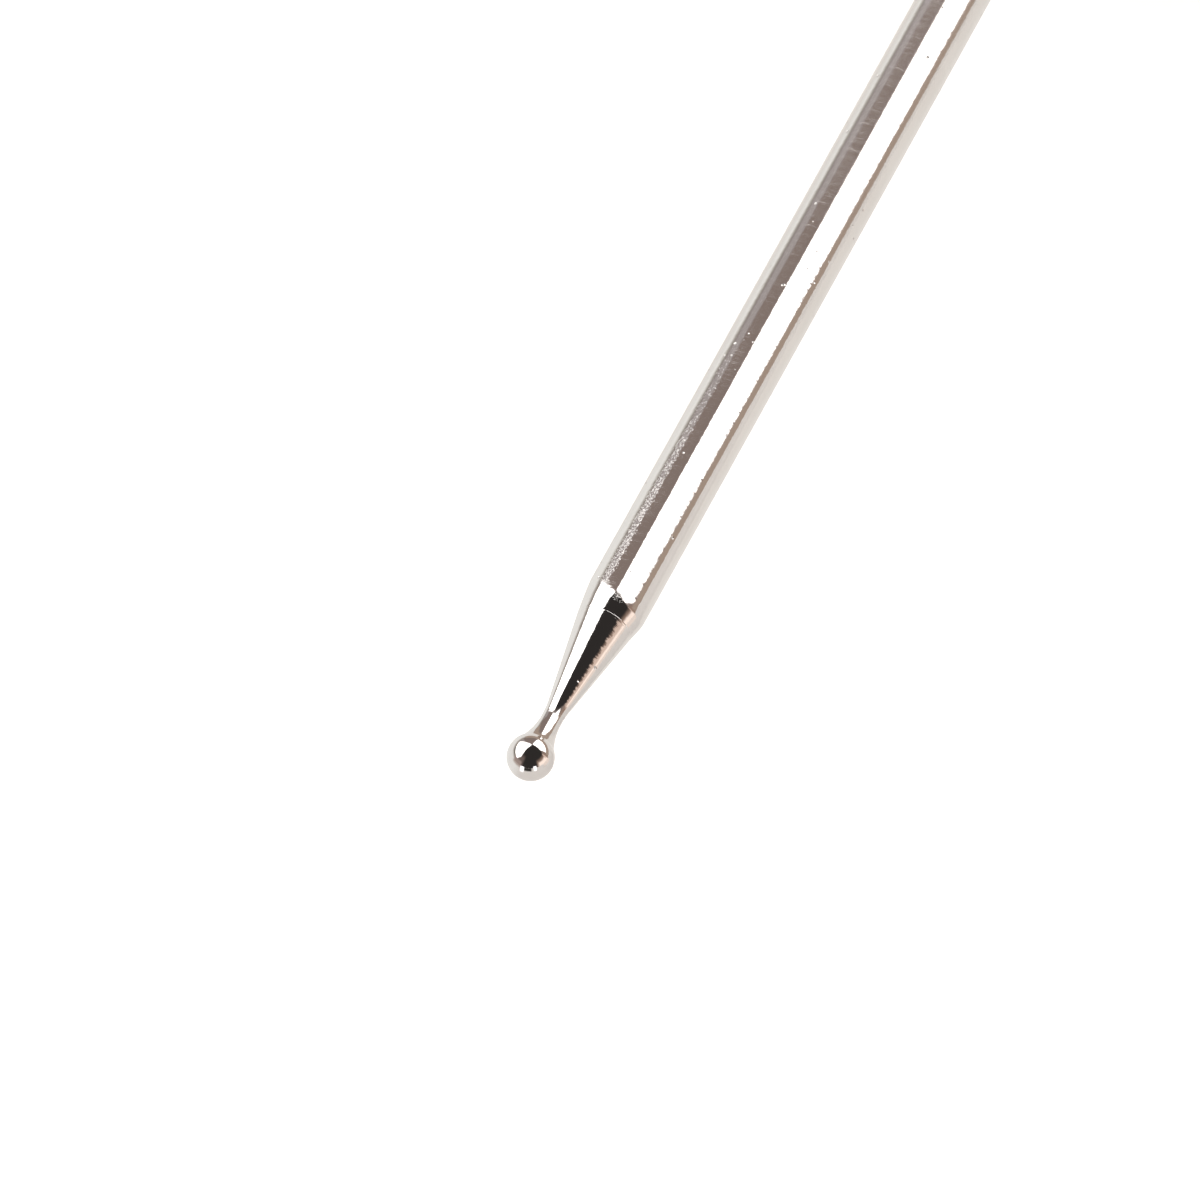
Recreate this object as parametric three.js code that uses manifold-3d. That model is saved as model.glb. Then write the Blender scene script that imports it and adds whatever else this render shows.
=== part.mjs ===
import * as THREE from 'three';
import { mergeVertices } from 'three/addons/utils/BufferGeometryUtils.js';
import Module from 'manifold-3d';

// A ball-point needle gripped by a collet chuck in an eight-sided wooden handle.
// Lengths are millimetres. Each piece is drawn on the tool's axis, +Y, which starts at the ball's tip
// and runs to the tail. The last lines lay the tool along X, on one flat of its handle.
// A station is a distance from the ball's tip along the axis.

// Needle
const ballDiameter = 1.66;
const ballFilletRadius = 0.15;
const neckDiameter = 0.74;
const neckDistance = 1.72; // ball centre to the thinnest place of the neck
const neckBallSideRadius = 2.88;
const neckConeSideRadius = 4.1;
const coneHalfAngle = THREE.MathUtils.degToRad(9.3);
const shoulderRadius = 2;
const shankDiameter = 2.35;
const needleReach = 46; // ball tip to the collet's front face
const needleGrip = 18; // length of shank inside the chuck
const needleTailChamfer = 0.3;

// Collet
const colletNoseWall = 0.6;
const colletNoseLength = 1.7;
const colletTaperAngle = THREE.MathUtils.degToRad(20);
const colletTaperRise = 0.85;
const colletHeadLength = 1.5;
const colletBodyWall = 0.95;
const colletLength = 15;
const colletSlotWidth = 0.45;
const colletSlotLength = 11;
const colletMouthChamfer = 0.25;

// Chuck nut
const nutLipLength = 0.5; // straight hole ahead of the inner cone
const nutNoseRim = 0.7;
const nutNoseChamfer = 0.3;
const nutConeLength = 4.6;
const nutWall = 1.1;
const nutGrooveWidth = 0.8;
const nutGrooveDepth = 0.35;
const nutRearBandLength = 1.6;
const nutEdgeChamfer = 0.25;
const knurlLength = 6;
const knurlPitch = 0.73;
const knurlDepth = 0.25;
const knurlCrestShare = 0.35; // how much of the pitch is uncut

// Chuck body
const spigotWall = 0.7;
const collarLength = 2;
const collarEdgeChamfer = 0.3;
const tangDiameter = 4.4;
const tangLength = 20;
const tangChamfer = 0.4;
const needleEndRoom = 1; // empty bore behind the needle's tail

// Ferrule and its cross pin
const ferruleLength = 12;
const ferruleWall = 0.45;
const ferruleEdgeRadius = 0.8;
const ferruleBeadWidth = 1;
const ferruleBeadHeight = 0.3;
const pinDiameter = 1.2;
const pinSetback = 6.5; // ferrule's front face to the pin's axis

// Handle
const handleAcrossFlats = 13;
const handleSides = 8;
const handleLength = 70; // between the ferrule's shoulder and the cap's shoulder
const handleFrontDiameter = 11;
const handleFrontTurning = 8;
const handleRearDiameter = 10.8;
const handleRearTurning = 11;
const frontTenonTipDiameter = 8.6;
const frontTenonRootDiameter = 9.4;
const rearTenonDiameter = 8.6;
const rearTenonLength = 6;

// Tail cap and its screw
const capWall = 0.8;
const capEndWall = 1.6;
const capEdgeRadius = 1;
const screwHeadDiameter = 4.2;
const screwShankDiameter = 2.2;
const screwLength = 12;
const screwPointLength = 2;
const screwHeadSink = 0.15;
const screwSlotWidth = 0.5;
const screwSlotDepth = 0.45;
const countersinkHalfAngle = THREE.MathUtils.degToRad(45);

// Clearances
const gripClearance = 0.07; // round the shank in the open collet
const slideClearance = 0.1; // round what slides or turns in a bore
const taperClearance = 0.15; // square to the collet's taper
const woodClearance = 0.1; // round what is driven into the wood
const pinClearance = 0.05;
const seatGap = 0.2; // between faces that seat on one another

// How finely round pieces are faceted
const roundSides = 48;
const thinSides = 36;
const smallSides = 20;
const ballSteps = 14;
const neckSteps = 6;
const coneStartSteps = 3;
const shoulderSteps = 3;
const filletSteps = 2;
const edgeSteps = 4;
const beadSteps = 4;
const turnedEndSteps = 6;

// Radii that follow from the sizes above
const ballRadius = ballDiameter / 2;
const neckRadius = neckDiameter / 2;
const shankRadius = shankDiameter / 2;
const taperGap = taperClearance / Math.cos(colletTaperAngle);
const colletBoreRadius = shankRadius + gripClearance;
const colletNoseRadius = colletBoreRadius + colletNoseWall;
const colletHeadRadius = colletNoseRadius + colletTaperRise;
const colletBodyRadius = colletBoreRadius + colletBodyWall;
const socketRadius = colletBodyRadius + slideClearance;
const spigotRadius = socketRadius + spigotWall;
const needleBoreRadius = colletBoreRadius + slideClearance;
const nutHoleRadius = colletNoseRadius + taperGap;
const nutBoreRadius = Math.max(spigotRadius, colletHeadRadius) + slideClearance;
const nutRadius = nutBoreRadius + nutWall;
const nutNoseRadius = nutHoleRadius + nutNoseRim;
const collarRadius = nutRadius;
const tangRadius = tangDiameter / 2;
const pinRadius = pinDiameter / 2;
const rearTenonRadius = rearTenonDiameter / 2;
const capBoreRadius = rearTenonRadius + woodClearance;
const capRadius = capBoreRadius + capWall;
const screwShankRadius = screwShankDiameter / 2;
const screwHeadRadius = screwHeadDiameter / 2;
const handleApothem = handleAcrossFlats / 2;
const handleCornerRadius = handleApothem / Math.cos(Math.PI / handleSides);

// Stations that follow from the sizes above
const needleEnd = needleReach + needleGrip;
const colletTaperStart = needleReach + colletNoseLength;
const colletTaperEnd = colletTaperStart + colletTaperRise / Math.tan(colletTaperAngle);
const colletHeadEnd = colletTaperEnd + colletHeadLength;
const colletEnd = needleReach + colletLength;
const nutFront = colletTaperStart - nutLipLength;
const nutConeEnd = nutFront + nutConeLength;
const knurlStart = nutConeEnd + nutGrooveWidth;
const knurlEnd = knurlStart + knurlLength;
const nutRearBandStart = knurlEnd + nutGrooveWidth;
const nutEnd = nutRearBandStart + nutRearBandLength;
const spigotFront = colletHeadEnd + seatGap;
const socketEnd = colletEnd + seatGap;
const collarStart = nutEnd + seatGap;
const collarEnd = collarStart + collarLength;
const tangEnd = collarEnd + tangLength;
const ferruleFront = collarEnd + seatGap;
const ferruleEnd = ferruleFront + ferruleLength;
const frontTenonTip = ferruleFront + ferruleWall + seatGap;
const handleFront = ferruleEnd + seatGap;
const handleEnd = handleFront + handleLength;
const rearTenonEnd = handleEnd + rearTenonLength;
const capFront = handleEnd + seatGap;
const capInnerEnd = rearTenonEnd + seatGap;
const toolLength = capInnerEnd + capEndWall;
const pinStation = ferruleFront + pinSetback;

const finishes = {
  platedNeedle: { color: 0xd9d5d0, roughness: 0.12, metalness: 1 },
  platedChuck: { color: 0xd2cfca, roughness: 0.2, metalness: 1 },
  springSteel: { color: 0x8d8f93, roughness: 0.32, metalness: 1 },
  brass: { color: 0xc9a24d, roughness: 0.25, metalness: 1 },
  oiledWood: { color: 0x8a5a33, roughness: 0.5, metalness: 0 },
};

const wasm = await Module();
wasm.setup();

const point = (radius, station) => new THREE.Vector2(radius, station);

// Points along a circular arc, both ends included
function arc(center, radius, startAngle, endAngle, steps) {
  return Array.from({ length: steps + 1 }, (_, i) => {
    const angle = THREE.MathUtils.lerp(startAngle, endAngle, i / steps);
    return point(center.x + radius * Math.cos(angle), center.y + radius * Math.sin(angle));
  });
}

function toSolid(geometry) {
  geometry.deleteAttribute('normal');
  geometry.deleteAttribute('uv');
  const merged = mergeVertices(geometry);
  const mesh = new wasm.Mesh({
    numProp: 3,
    vertProperties: merged.attributes.position.array,
    triVerts: Uint32Array.from(merged.index.array),
  });
  return new wasm.Manifold(mesh);
}

// A turned solid. Its outline runs towards the tail and starts and ends on the axis.
function turned(outline, sides) {
  return toSolid(new THREE.LatheGeometry(outline, sides));
}

// A plain round bar between two stations
function roundBar(radius, start, end, sides) {
  return turned([point(0, start), point(radius, start), point(radius, end), point(0, end)], sides);
}

// A bar of any section between two stations
function prism(section, start, end) {
  const extrusion = new THREE.ExtrudeGeometry(new THREE.Shape(section), {
    depth: end - start,
    bevelEnabled: false,
  });
  return toSolid(extrusion.rotateX(-Math.PI / 2).translate(0, start, 0));
}

// A round bar across the tool, centred on its axis
function crossBar(radius, length, station) {
  const bar = new THREE.CylinderGeometry(radius, radius, length, smallSides);
  return toSolid(bar.rotateZ(Math.PI / 2).translate(0, station, 0));
}

function needle() {
  // Drawn from the ball's centre, then moved up by the ball's radius. The fillet's circle touches the
  // ball from outside and the neck's ball-side arc from inside.
  const origin = point(0, 0);
  const neckArcCenter = point(neckRadius + neckBallSideRadius, neckDistance);
  const coneArcCenter = point(neckRadius + neckConeSideRadius, neckDistance);
  const centerDistance = neckArcCenter.length();
  const toBall = ballRadius + ballFilletRadius;
  const toNeckArc = neckBallSideRadius - ballFilletRadius;
  const cosine = (centerDistance ** 2 + toBall ** 2 - toNeckArc ** 2) / (2 * centerDistance * toBall);
  const filletAngle = neckArcCenter.angle() + Math.acos(cosine);
  const filletCenter = point(toBall * Math.cos(filletAngle), toBall * Math.sin(filletAngle));
  const neckTangentAngle = filletCenter.clone().sub(neckArcCenter).angle();

  const coneStart = point(
    neckRadius + neckConeSideRadius * (1 - Math.cos(coneHalfAngle)),
    neckDistance + neckConeSideRadius * Math.sin(coneHalfAngle),
  );
  const shoulderCorner = coneStart.y + (shankRadius - coneStart.x) / Math.tan(coneHalfAngle);
  const shoulderCenter = point(
    shankRadius - shoulderRadius,
    shoulderCorner + shoulderRadius * Math.tan(coneHalfAngle / 2),
  );
  const tail = needleEnd - ballRadius;

  const outline = [
    ...arc(origin, ballRadius, -Math.PI / 2, filletAngle, ballSteps),
    ...arc(filletCenter, ballFilletRadius, filletAngle + Math.PI, neckTangentAngle, filletSteps).slice(1),
    ...arc(neckArcCenter, neckBallSideRadius, neckTangentAngle, Math.PI, neckSteps).slice(1),
    ...arc(coneArcCenter, neckConeSideRadius, Math.PI, Math.PI - coneHalfAngle, coneStartSteps).slice(1),
    ...arc(shoulderCenter, shoulderRadius, -coneHalfAngle, 0, shoulderSteps),
    point(shankRadius, tail - needleTailChamfer),
    point(shankRadius - needleTailChamfer, tail),
    point(0, tail),
  ];
  outline[0].x = 0;
  return turned(outline, thinSides).translate([0, ballRadius, 0]);
}

function collet() {
  const outside = turned([
    point(0, needleReach),
    point(colletNoseRadius, needleReach),
    point(colletNoseRadius, colletTaperStart),
    point(colletHeadRadius, colletTaperEnd),
    point(colletHeadRadius, colletHeadEnd),
    point(colletBodyRadius, colletHeadEnd),
    point(colletBodyRadius, colletEnd),
    point(0, colletEnd),
  ], thinSides);
  const bore = roundBar(colletBoreRadius, needleReach - seatGap, colletEnd + seatGap, thinSides);
  const mouthRadius = colletBoreRadius + colletMouthChamfer;
  const mouth = turned([
    point(0, needleReach - seatGap),
    point(mouthRadius, needleReach - seatGap),
    point(mouthRadius, needleReach),
    point(colletBoreRadius, needleReach + colletMouthChamfer),
    point(0, needleReach + colletMouthChamfer),
  ], thinSides);
  const slotSpan = 2 * colletHeadRadius + seatGap;
  const slotBox = new THREE.BoxGeometry(slotSpan, colletSlotLength + seatGap, colletSlotWidth);
  const slot = toSolid(slotBox.translate(0, needleReach + (colletSlotLength - seatGap) / 2, 0));
  return outside.subtract(bore).subtract(mouth).subtract(slot).subtract(slot.rotate([0, 90, 0]));
}

function knurlSection() {
  const flutes = Math.round(2 * Math.PI * nutRadius / knurlPitch);
  const step = 2 * Math.PI / flutes;
  return Array.from({ length: flutes }, (_, i) => [
    point(nutRadius, 0).rotateAround(point(0, 0), i * step),
    point(nutRadius, 0).rotateAround(point(0, 0), (i + knurlCrestShare) * step),
    point(nutRadius - knurlDepth, 0).rotateAround(point(0, 0), (i + (1 + knurlCrestShare) / 2) * step),
  ]).flat();
}

function chuckNut() {
  const grooveRadius = nutRadius - nutGrooveDepth;
  const outside = turned([
    point(0, nutFront),
    point(nutNoseRadius - nutNoseChamfer, nutFront),
    point(nutNoseRadius, nutFront + nutNoseChamfer),
    point(nutRadius, nutConeEnd - nutEdgeChamfer),
    point(nutRadius - nutEdgeChamfer, nutConeEnd),
    point(grooveRadius, nutConeEnd),
    point(grooveRadius, nutRearBandStart),
    point(nutRadius - nutEdgeChamfer, nutRearBandStart),
    point(nutRadius, nutRearBandStart + nutEdgeChamfer),
    point(nutRadius, nutEnd - nutEdgeChamfer),
    point(nutRadius - nutEdgeChamfer, nutEnd),
    point(0, nutEnd),
  ], roundSides);
  const bandEnvelope = turned([
    point(0, knurlStart),
    point(nutRadius - nutEdgeChamfer, knurlStart),
    point(nutRadius + nutEdgeChamfer, knurlStart + 2 * nutEdgeChamfer),
    point(nutRadius + nutEdgeChamfer, knurlEnd - 2 * nutEdgeChamfer),
    point(nutRadius - nutEdgeChamfer, knurlEnd),
    point(0, knurlEnd),
  ], roundSides);
  const band = prism(knurlSection(), knurlStart, knurlEnd).intersect(bandEnvelope);
  const innerConeEnd = colletTaperStart + (nutBoreRadius - nutHoleRadius) / Math.tan(colletTaperAngle);
  const bore = turned([
    point(0, nutFront - seatGap),
    point(nutHoleRadius, nutFront - seatGap),
    point(nutHoleRadius, colletTaperStart),
    point(nutBoreRadius, innerConeEnd),
    point(nutBoreRadius, nutEnd + seatGap),
    point(0, nutEnd + seatGap),
  ], thinSides);
  return outside.add(band).subtract(bore);
}

function chuckBody() {
  const outside = turned([
    point(0, spigotFront),
    point(spigotRadius, spigotFront),
    point(spigotRadius, collarStart),
    point(collarRadius - collarEdgeChamfer, collarStart),
    point(collarRadius, collarStart + collarEdgeChamfer),
    point(collarRadius, collarEnd - collarEdgeChamfer),
    point(collarRadius - collarEdgeChamfer, collarEnd),
    point(tangRadius, collarEnd),
    point(tangRadius, tangEnd - tangChamfer),
    point(tangRadius - tangChamfer, tangEnd),
    point(0, tangEnd),
  ], roundSides);
  const boreEnd = needleEnd + needleEndRoom;
  const bore = turned([
    point(0, spigotFront - seatGap),
    point(socketRadius, spigotFront - seatGap),
    point(socketRadius, socketEnd),
    point(needleBoreRadius, socketEnd),
    point(needleBoreRadius, boreEnd),
    point(0, boreEnd),
  ], roundSides);
  return outside.subtract(bore).subtract(pinHole());
}

const pinHole = () => crossBar(pinRadius + pinClearance, 2 * handleAcrossFlats, pinStation);

// Radius of the front tenon at a station. It widens from its tip to its root.
function frontTenonRadius(station) {
  const radius = THREE.MathUtils.mapLinear(
    station, frontTenonTip, handleFront, frontTenonTipDiameter, frontTenonRootDiameter);
  return radius / 2;
}

const ferruleBore = (station) => frontTenonRadius(station) + woodClearance;
const ferruleRadius = (station) => ferruleBore(station) + ferruleWall;

function ferrule() {
  const frontEdge = ferruleFront + ferruleEdgeRadius;
  const edgeCenter = point(ferruleRadius(frontEdge) - ferruleEdgeRadius, frontEdge);
  const beadCenter = ferruleEnd - ferruleBeadWidth / 2;
  const bead = Array.from({ length: beadSteps + 1 }, (_, i) => {
    const angle = THREE.MathUtils.lerp(-Math.PI / 2, Math.PI / 2, i / beadSteps);
    const lift = ferruleBeadHeight * Math.cos(angle);
    const station = beadCenter + ferruleBeadWidth / 2 * Math.sin(angle);
    return point(ferruleRadius(station) + lift, station);
  });
  const outside = turned([
    point(0, ferruleFront),
    ...arc(edgeCenter, ferruleEdgeRadius, -Math.PI / 2, 0, edgeSteps),
    ...bead,
    point(0, ferruleEnd),
  ], roundSides);
  const innerFront = ferruleFront + ferruleWall;
  const inside = turned([
    point(0, innerFront),
    point(ferruleBore(innerFront), innerFront),
    point(ferruleBore(ferruleEnd + seatGap), ferruleEnd + seatGap),
    point(0, ferruleEnd + seatGap),
  ], roundSides);
  const tangHole = roundBar(tangRadius + woodClearance, ferruleFront - seatGap, innerFront + seatGap, roundSides);
  return outside.subtract(inside).subtract(tangHole).subtract(pinHole());
}

function ferrulePin() {
  return crossBar(pinRadius, 2 * ferruleRadius(pinStation), pinStation);
}

// The turned end of the handle rises along a quarter of a sine wave, clear of the corners at its top.
function turnedEnd(endRadius, endStation, length, direction) {
  const rise = handleCornerRadius + woodClearance - endRadius;
  return Array.from({ length: turnedEndSteps + 1 }, (_, i) => {
    const share = i / turnedEndSteps;
    const radius = endRadius + rise * Math.sin(share * Math.PI / 2);
    return point(radius, endStation + direction * share * length);
  });
}

function handle() {
  const envelope = turned([
    point(0, frontTenonTip),
    point(frontTenonRadius(frontTenonTip), frontTenonTip),
    point(frontTenonRadius(handleFront), handleFront),
    ...turnedEnd(handleFrontDiameter / 2, handleFront, handleFrontTurning, 1),
    ...turnedEnd(handleRearDiameter / 2, handleEnd, handleRearTurning, -1).reverse(),
    point(rearTenonRadius, handleEnd),
    point(rearTenonRadius, rearTenonEnd),
    point(0, rearTenonEnd),
  ], roundSides);
  const firstCorner = Math.PI / handleSides;
  const section = Array.from({ length: handleSides }, (_, i) =>
    point(handleCornerRadius, 0).rotateAround(point(0, 0), firstCorner + 2 * i * firstCorner));
  const stock = prism(section, frontTenonTip - seatGap, rearTenonEnd + seatGap);
  const tangBore = roundBar(tangRadius + woodClearance, frontTenonTip - seatGap, tangEnd + seatGap, thinSides);
  const pilotEnd = toolLength - screwHeadSink - screwLength - seatGap;
  const pilot = roundBar(screwShankRadius + woodClearance, pilotEnd, rearTenonEnd + seatGap, smallSides);
  return envelope.intersect(stock).subtract(tangBore).subtract(pinHole()).subtract(pilot);
}

// The countersunk seat and the screw's head are cones with the same angle.
function headCone(clearance) {
  const headFace = toolLength - screwHeadSink;
  const rootRadius = screwShankRadius + clearance;
  const faceRadius = screwHeadRadius + clearance;
  const depth = (faceRadius - rootRadius) / Math.tan(countersinkHalfAngle);
  return { headFace, rootRadius, faceRadius, start: headFace - depth };
}

function tailCap() {
  const edgeCenter = point(capRadius - capEdgeRadius, toolLength - capEdgeRadius);
  const outside = turned([
    point(0, capFront),
    point(capRadius, capFront),
    ...arc(edgeCenter, capEdgeRadius, 0, Math.PI / 2, edgeSteps),
    point(0, toolLength),
  ], roundSides);
  const inside = roundBar(capBoreRadius, capFront - seatGap, capInnerEnd, roundSides);
  const cone = headCone(woodClearance);
  const screwHole = turned([
    point(0, capInnerEnd - seatGap),
    point(cone.rootRadius, capInnerEnd - seatGap),
    point(cone.rootRadius, cone.start),
    point(cone.faceRadius, cone.headFace),
    point(cone.faceRadius, toolLength + seatGap),
    point(0, toolLength + seatGap),
  ], thinSides);
  return outside.subtract(inside).subtract(screwHole);
}

function tailScrew() {
  const cone = headCone(0);
  const tip = cone.headFace - screwLength;
  const body = turned([
    point(0, tip),
    point(screwShankRadius, tip + screwPointLength),
    point(screwShankRadius, cone.start),
    point(screwHeadRadius, cone.headFace),
    point(0, cone.headFace),
  ], thinSides);
  const slotBox = new THREE.BoxGeometry(2 * screwHeadDiameter, 2 * screwSlotDepth, screwSlotWidth);
  return body.subtract(toSolid(slotBox.translate(0, cone.headFace, 0)));
}

function toMesh(name, solid, finish) {
  const { vertProperties, triVerts } = solid.getMesh();
  const geometry = new THREE.BufferGeometry();
  geometry.setAttribute('position', new THREE.BufferAttribute(vertProperties, 3));
  geometry.setIndex(new THREE.BufferAttribute(triVerts, 1));
  geometry.computeVertexNormals();
  const mesh = new THREE.Mesh(geometry, new THREE.MeshStandardMaterial({ ...finish, flatShading: true }));
  mesh.name = name;
  return mesh;
}

const tool = new THREE.Group();
tool.add(
  toMesh('ball_needle', needle(), finishes.platedNeedle),
  toMesh('collet', collet(), finishes.springSteel),
  toMesh('chuck_nut', chuckNut(), finishes.platedChuck),
  toMesh('chuck_body', chuckBody(), finishes.platedChuck),
  toMesh('ferrule', ferrule(), finishes.platedChuck),
  toMesh('ferrule_pin', ferrulePin(), finishes.brass),
  toMesh('handle', handle(), finishes.oiledWood),
  toMesh('tail_cap', tailCap(), finishes.platedChuck),
  toMesh('tail_screw', tailScrew(), finishes.brass),
);

// Laid down: the tail points along +X, one flat of the handle is at Z = 0, and the middle is at X = 0.
tool.rotation.z = -Math.PI / 2;
tool.position.set(-toolLength / 2, 0, handleApothem);

export default tool;
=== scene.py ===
"""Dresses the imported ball-point needle for looks: finer pieces, metal and wood finishes, light and camera.

Lengths are metres. A station is a distance from the ball's tip along the tool, which lies along X.
"""
import logging
from dataclasses import dataclass
from enum import Enum
from functools import cache
from math import acos, atan2, ceil, cos, hypot, pi, radians, sin, sqrt, tan
from typing import Mapping, Sequence

import bmesh
import bpy
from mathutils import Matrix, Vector

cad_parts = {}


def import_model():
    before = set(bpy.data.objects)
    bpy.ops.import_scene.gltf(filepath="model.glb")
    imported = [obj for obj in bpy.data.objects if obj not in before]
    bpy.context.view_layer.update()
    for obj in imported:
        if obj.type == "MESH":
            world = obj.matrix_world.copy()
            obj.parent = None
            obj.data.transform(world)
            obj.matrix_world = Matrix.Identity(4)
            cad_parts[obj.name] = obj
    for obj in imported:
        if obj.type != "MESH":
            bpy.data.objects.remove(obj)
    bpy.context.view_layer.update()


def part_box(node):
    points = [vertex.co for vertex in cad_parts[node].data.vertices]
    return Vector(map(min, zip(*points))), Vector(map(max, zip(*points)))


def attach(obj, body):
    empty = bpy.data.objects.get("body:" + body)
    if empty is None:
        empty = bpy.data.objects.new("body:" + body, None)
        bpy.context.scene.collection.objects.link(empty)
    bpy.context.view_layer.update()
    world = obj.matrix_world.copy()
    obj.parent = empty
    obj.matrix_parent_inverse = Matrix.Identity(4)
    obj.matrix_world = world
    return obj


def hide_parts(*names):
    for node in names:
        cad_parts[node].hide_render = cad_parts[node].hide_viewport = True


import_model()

log = logging.getLogger("ball_point_needle")

MM = 0.001
FULL_TURN = 2 * pi
ON_AXIS = 1e-9
WHITE = (1.0, 1.0, 1.0, 1.0)

Tree = bpy.types.NodeTree
Node = bpy.types.Node
Socket = bpy.types.NodeSocket
Material = bpy.types.Material
Piece = bpy.types.Object
Colour = tuple[float, float, float, float]
Stretch = tuple[float, float, float]
Input = float | int | str | tuple | Socket | Material | None


class SocketKind(Enum):
    """The kinds of socket that this script's node groups have."""

    NUMBER = "NodeSocketFloat"
    VECTOR = "NodeSocketVector"
    GEOMETRY = "NodeSocketGeometry"
    MATERIAL = "NodeSocketMaterial"


class Slot(Enum):
    """The record's material slots."""

    PLATED_NEEDLE = "plated_needle"
    PLATED_CHUCK = "plated_chuck"
    SPRING_STEEL = "spring_steel"
    BRASS = "brass"
    OILED_WOOD = "oiled_wood"


class Body(Enum):
    """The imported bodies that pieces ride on."""

    HANDLE = "handle_body"
    COLLET = "collet_body"
    NUT = "nut_body"
    NEEDLE = "needle_body"


class Stored(Enum):
    """Values that a mesh keeps for its materials and its carving."""

    WEAR = "wear"
    CARVE = "carve"


class Edge(float, Enum):
    """How far a turned edge is rounded."""

    KEEN = 0.04 * MM
    CRISP = 0.05 * MM
    FINE = 0.06 * MM
    SOFT = 0.08 * MM
    EASED = 0.1 * MM
    BROKEN = 0.12 * MM
    ROUND = 0.15 * MM
    DOMED = 0.3 * MM


class Graph:
    """Adds nodes to one tree and joins them."""

    # The Mix node has sockets with the same names for every kind of value, so its colours go by number.
    FIRST_COLOUR, SECOND_COLOUR, MIXED_COLOUR = 6, 7, 2

    def __init__(self, tree: Tree) -> None:
        """Keeps the tree to build in."""
        self.tree = tree

    def fill(self, node: Node, inputs: Mapping[str | int, Input]) -> Node:
        """Sets a node's inputs, or joins them to what feeds them.

        Args:
            node: The node.
            inputs: Each input's value, or the socket that feeds it.

        Returns:
            The node.
        """
        for key, value in inputs.items():
            if isinstance(value, Socket):
                self.tree.links.new(value, node.inputs[key])
            else:
                node.inputs[key].default_value = value
        return node

    def add(self, kind: str, inputs: Mapping[str | int, Input] | None = None, **settings: object) -> Node:
        """Adds a node.

        Args:
            kind: The node's Blender type.
            inputs: Each input's value, or the socket that feeds it.
            settings: The node's own properties.

        Returns:
            The new node.
        """
        node = self.tree.nodes.new(kind)
        for name, value in settings.items():
            setattr(node, name, value)
        return self.fill(node, inputs or {})

    def math(self, operation: str, *values: Input) -> Socket:
        """Returns the result of a Math node."""
        return self.add("ShaderNodeMath", dict(enumerate(values)), operation=operation).outputs[0]

    def vector(self, operation: str, *values: Input) -> bpy.types.bpy_prop_collection:
        """Returns the outputs of a Vector Math node."""
        return self.add("ShaderNodeVectorMath", dict(enumerate(values)), operation=operation).outputs

    def ramp(self, value: Input, low: float, high: float, start: float = 0.0, end: float = 1.0) -> Socket:
        """Returns a value mapped smoothly from low..high to start..end, and held beyond both."""
        inputs = {"Value": value, "From Min": low, "From Max": high, "To Min": start, "To Max": end}
        return self.add("ShaderNodeMapRange", inputs, interpolation_type="SMOOTHSTEP").outputs["Result"]

    def fall(self, value: Input, low: float, high: float) -> Socket:
        """Returns 1 up to low, 0 from high on, and a smooth fall between."""
        return self.ramp(value, low, high, 1.0, 0.0)

    def mix(self, factor: Input, first: Input, second: Input) -> Socket:
        """Returns the first colour where the factor is 0, and the second where it is 1."""
        inputs = {0: factor, self.FIRST_COLOUR: first, self.SECOND_COLOUR: second}
        return self.add("ShaderNodeMix", inputs, data_type="RGBA").outputs[self.MIXED_COLOUR]

    def noise(self, vector: Input, scale: Input, detail: float = 2.0) -> Socket:
        """Returns noise from about 0 to 1, with its features per metre and its finer layers."""
        return self.add("ShaderNodeTexNoise", {"Vector": vector, "Scale": scale, "Detail": detail}).outputs[0]

    def cells(self, vector: Input, scale: Input) -> tuple[Socket, Socket, Socket]:
        """Scatters points, one to a cell.

        Args:
            vector: Where the pattern is read.
            scale: Cells per metre.

        Returns:
            The distance to the nearest point, and two chance values that are the same all over its cell.
        """
        voronoi = self.add("ShaderNodeTexVoronoi", {"Vector": vector, "Scale": scale}).outputs
        colour = self.add("ShaderNodeSeparateColor", {0: voronoi["Color"]}).outputs
        return voronoi["Distance"], colour[0], colour[1]

    def stretched(self, vector: Input, scale: Stretch) -> Socket:
        """Returns coordinates scaled by a different amount along each axis."""
        return self.add("ShaderNodeMapping", {"Vector": vector, "Scale": scale}).outputs[0]

    def split(self, vector: Input) -> bpy.types.bpy_prop_collection:
        """Returns a vector's X, Y and Z."""
        return self.add("ShaderNodeSeparateXYZ", {0: vector}).outputs

    def combine(self, **parts: Input) -> Socket:
        """Returns the vector with the given X, Y and Z."""
        return self.add("ShaderNodeCombineXYZ", parts).outputs[0]


class NodeGroup:
    """A node group with named sockets, built once and given its own values at each use."""

    NAME: str
    KIND = "ShaderNodeTree"
    LEAD = {"Vector": SocketKind.VECTOR}
    NUMBERS: tuple[str, ...]
    RESULTS: tuple[str, ...]
    RESULT_KIND = SocketKind.NUMBER

    def __init__(self) -> None:
        """Makes the sockets, and feeds the outputs with what draw() gives."""
        self.tree = bpy.data.node_groups.new(self.NAME, self.KIND)
        self.graph = Graph(self.tree)
        for name, kind in {**self.LEAD, **dict.fromkeys(self.NUMBERS, SocketKind.NUMBER)}.items():
            self.tree.interface.new_socket(name, in_out="INPUT", socket_type=kind.value)
        for name in self.RESULTS:
            self.tree.interface.new_socket(name, in_out="OUTPUT", socket_type=self.RESULT_KIND.value)
        self.given = self.graph.add("NodeGroupInput").outputs
        self.graph.add("NodeGroupOutput", dict(zip(self.RESULTS, self.draw())))

    def draw(self) -> Sequence[Socket]:
        """Returns what feeds each output, in their order."""
        raise NotImplementedError


@cache
def built(kind: type[NodeGroup]) -> Tree:
    """Returns a group's tree, which is built at its first use."""
    return kind().tree


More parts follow.
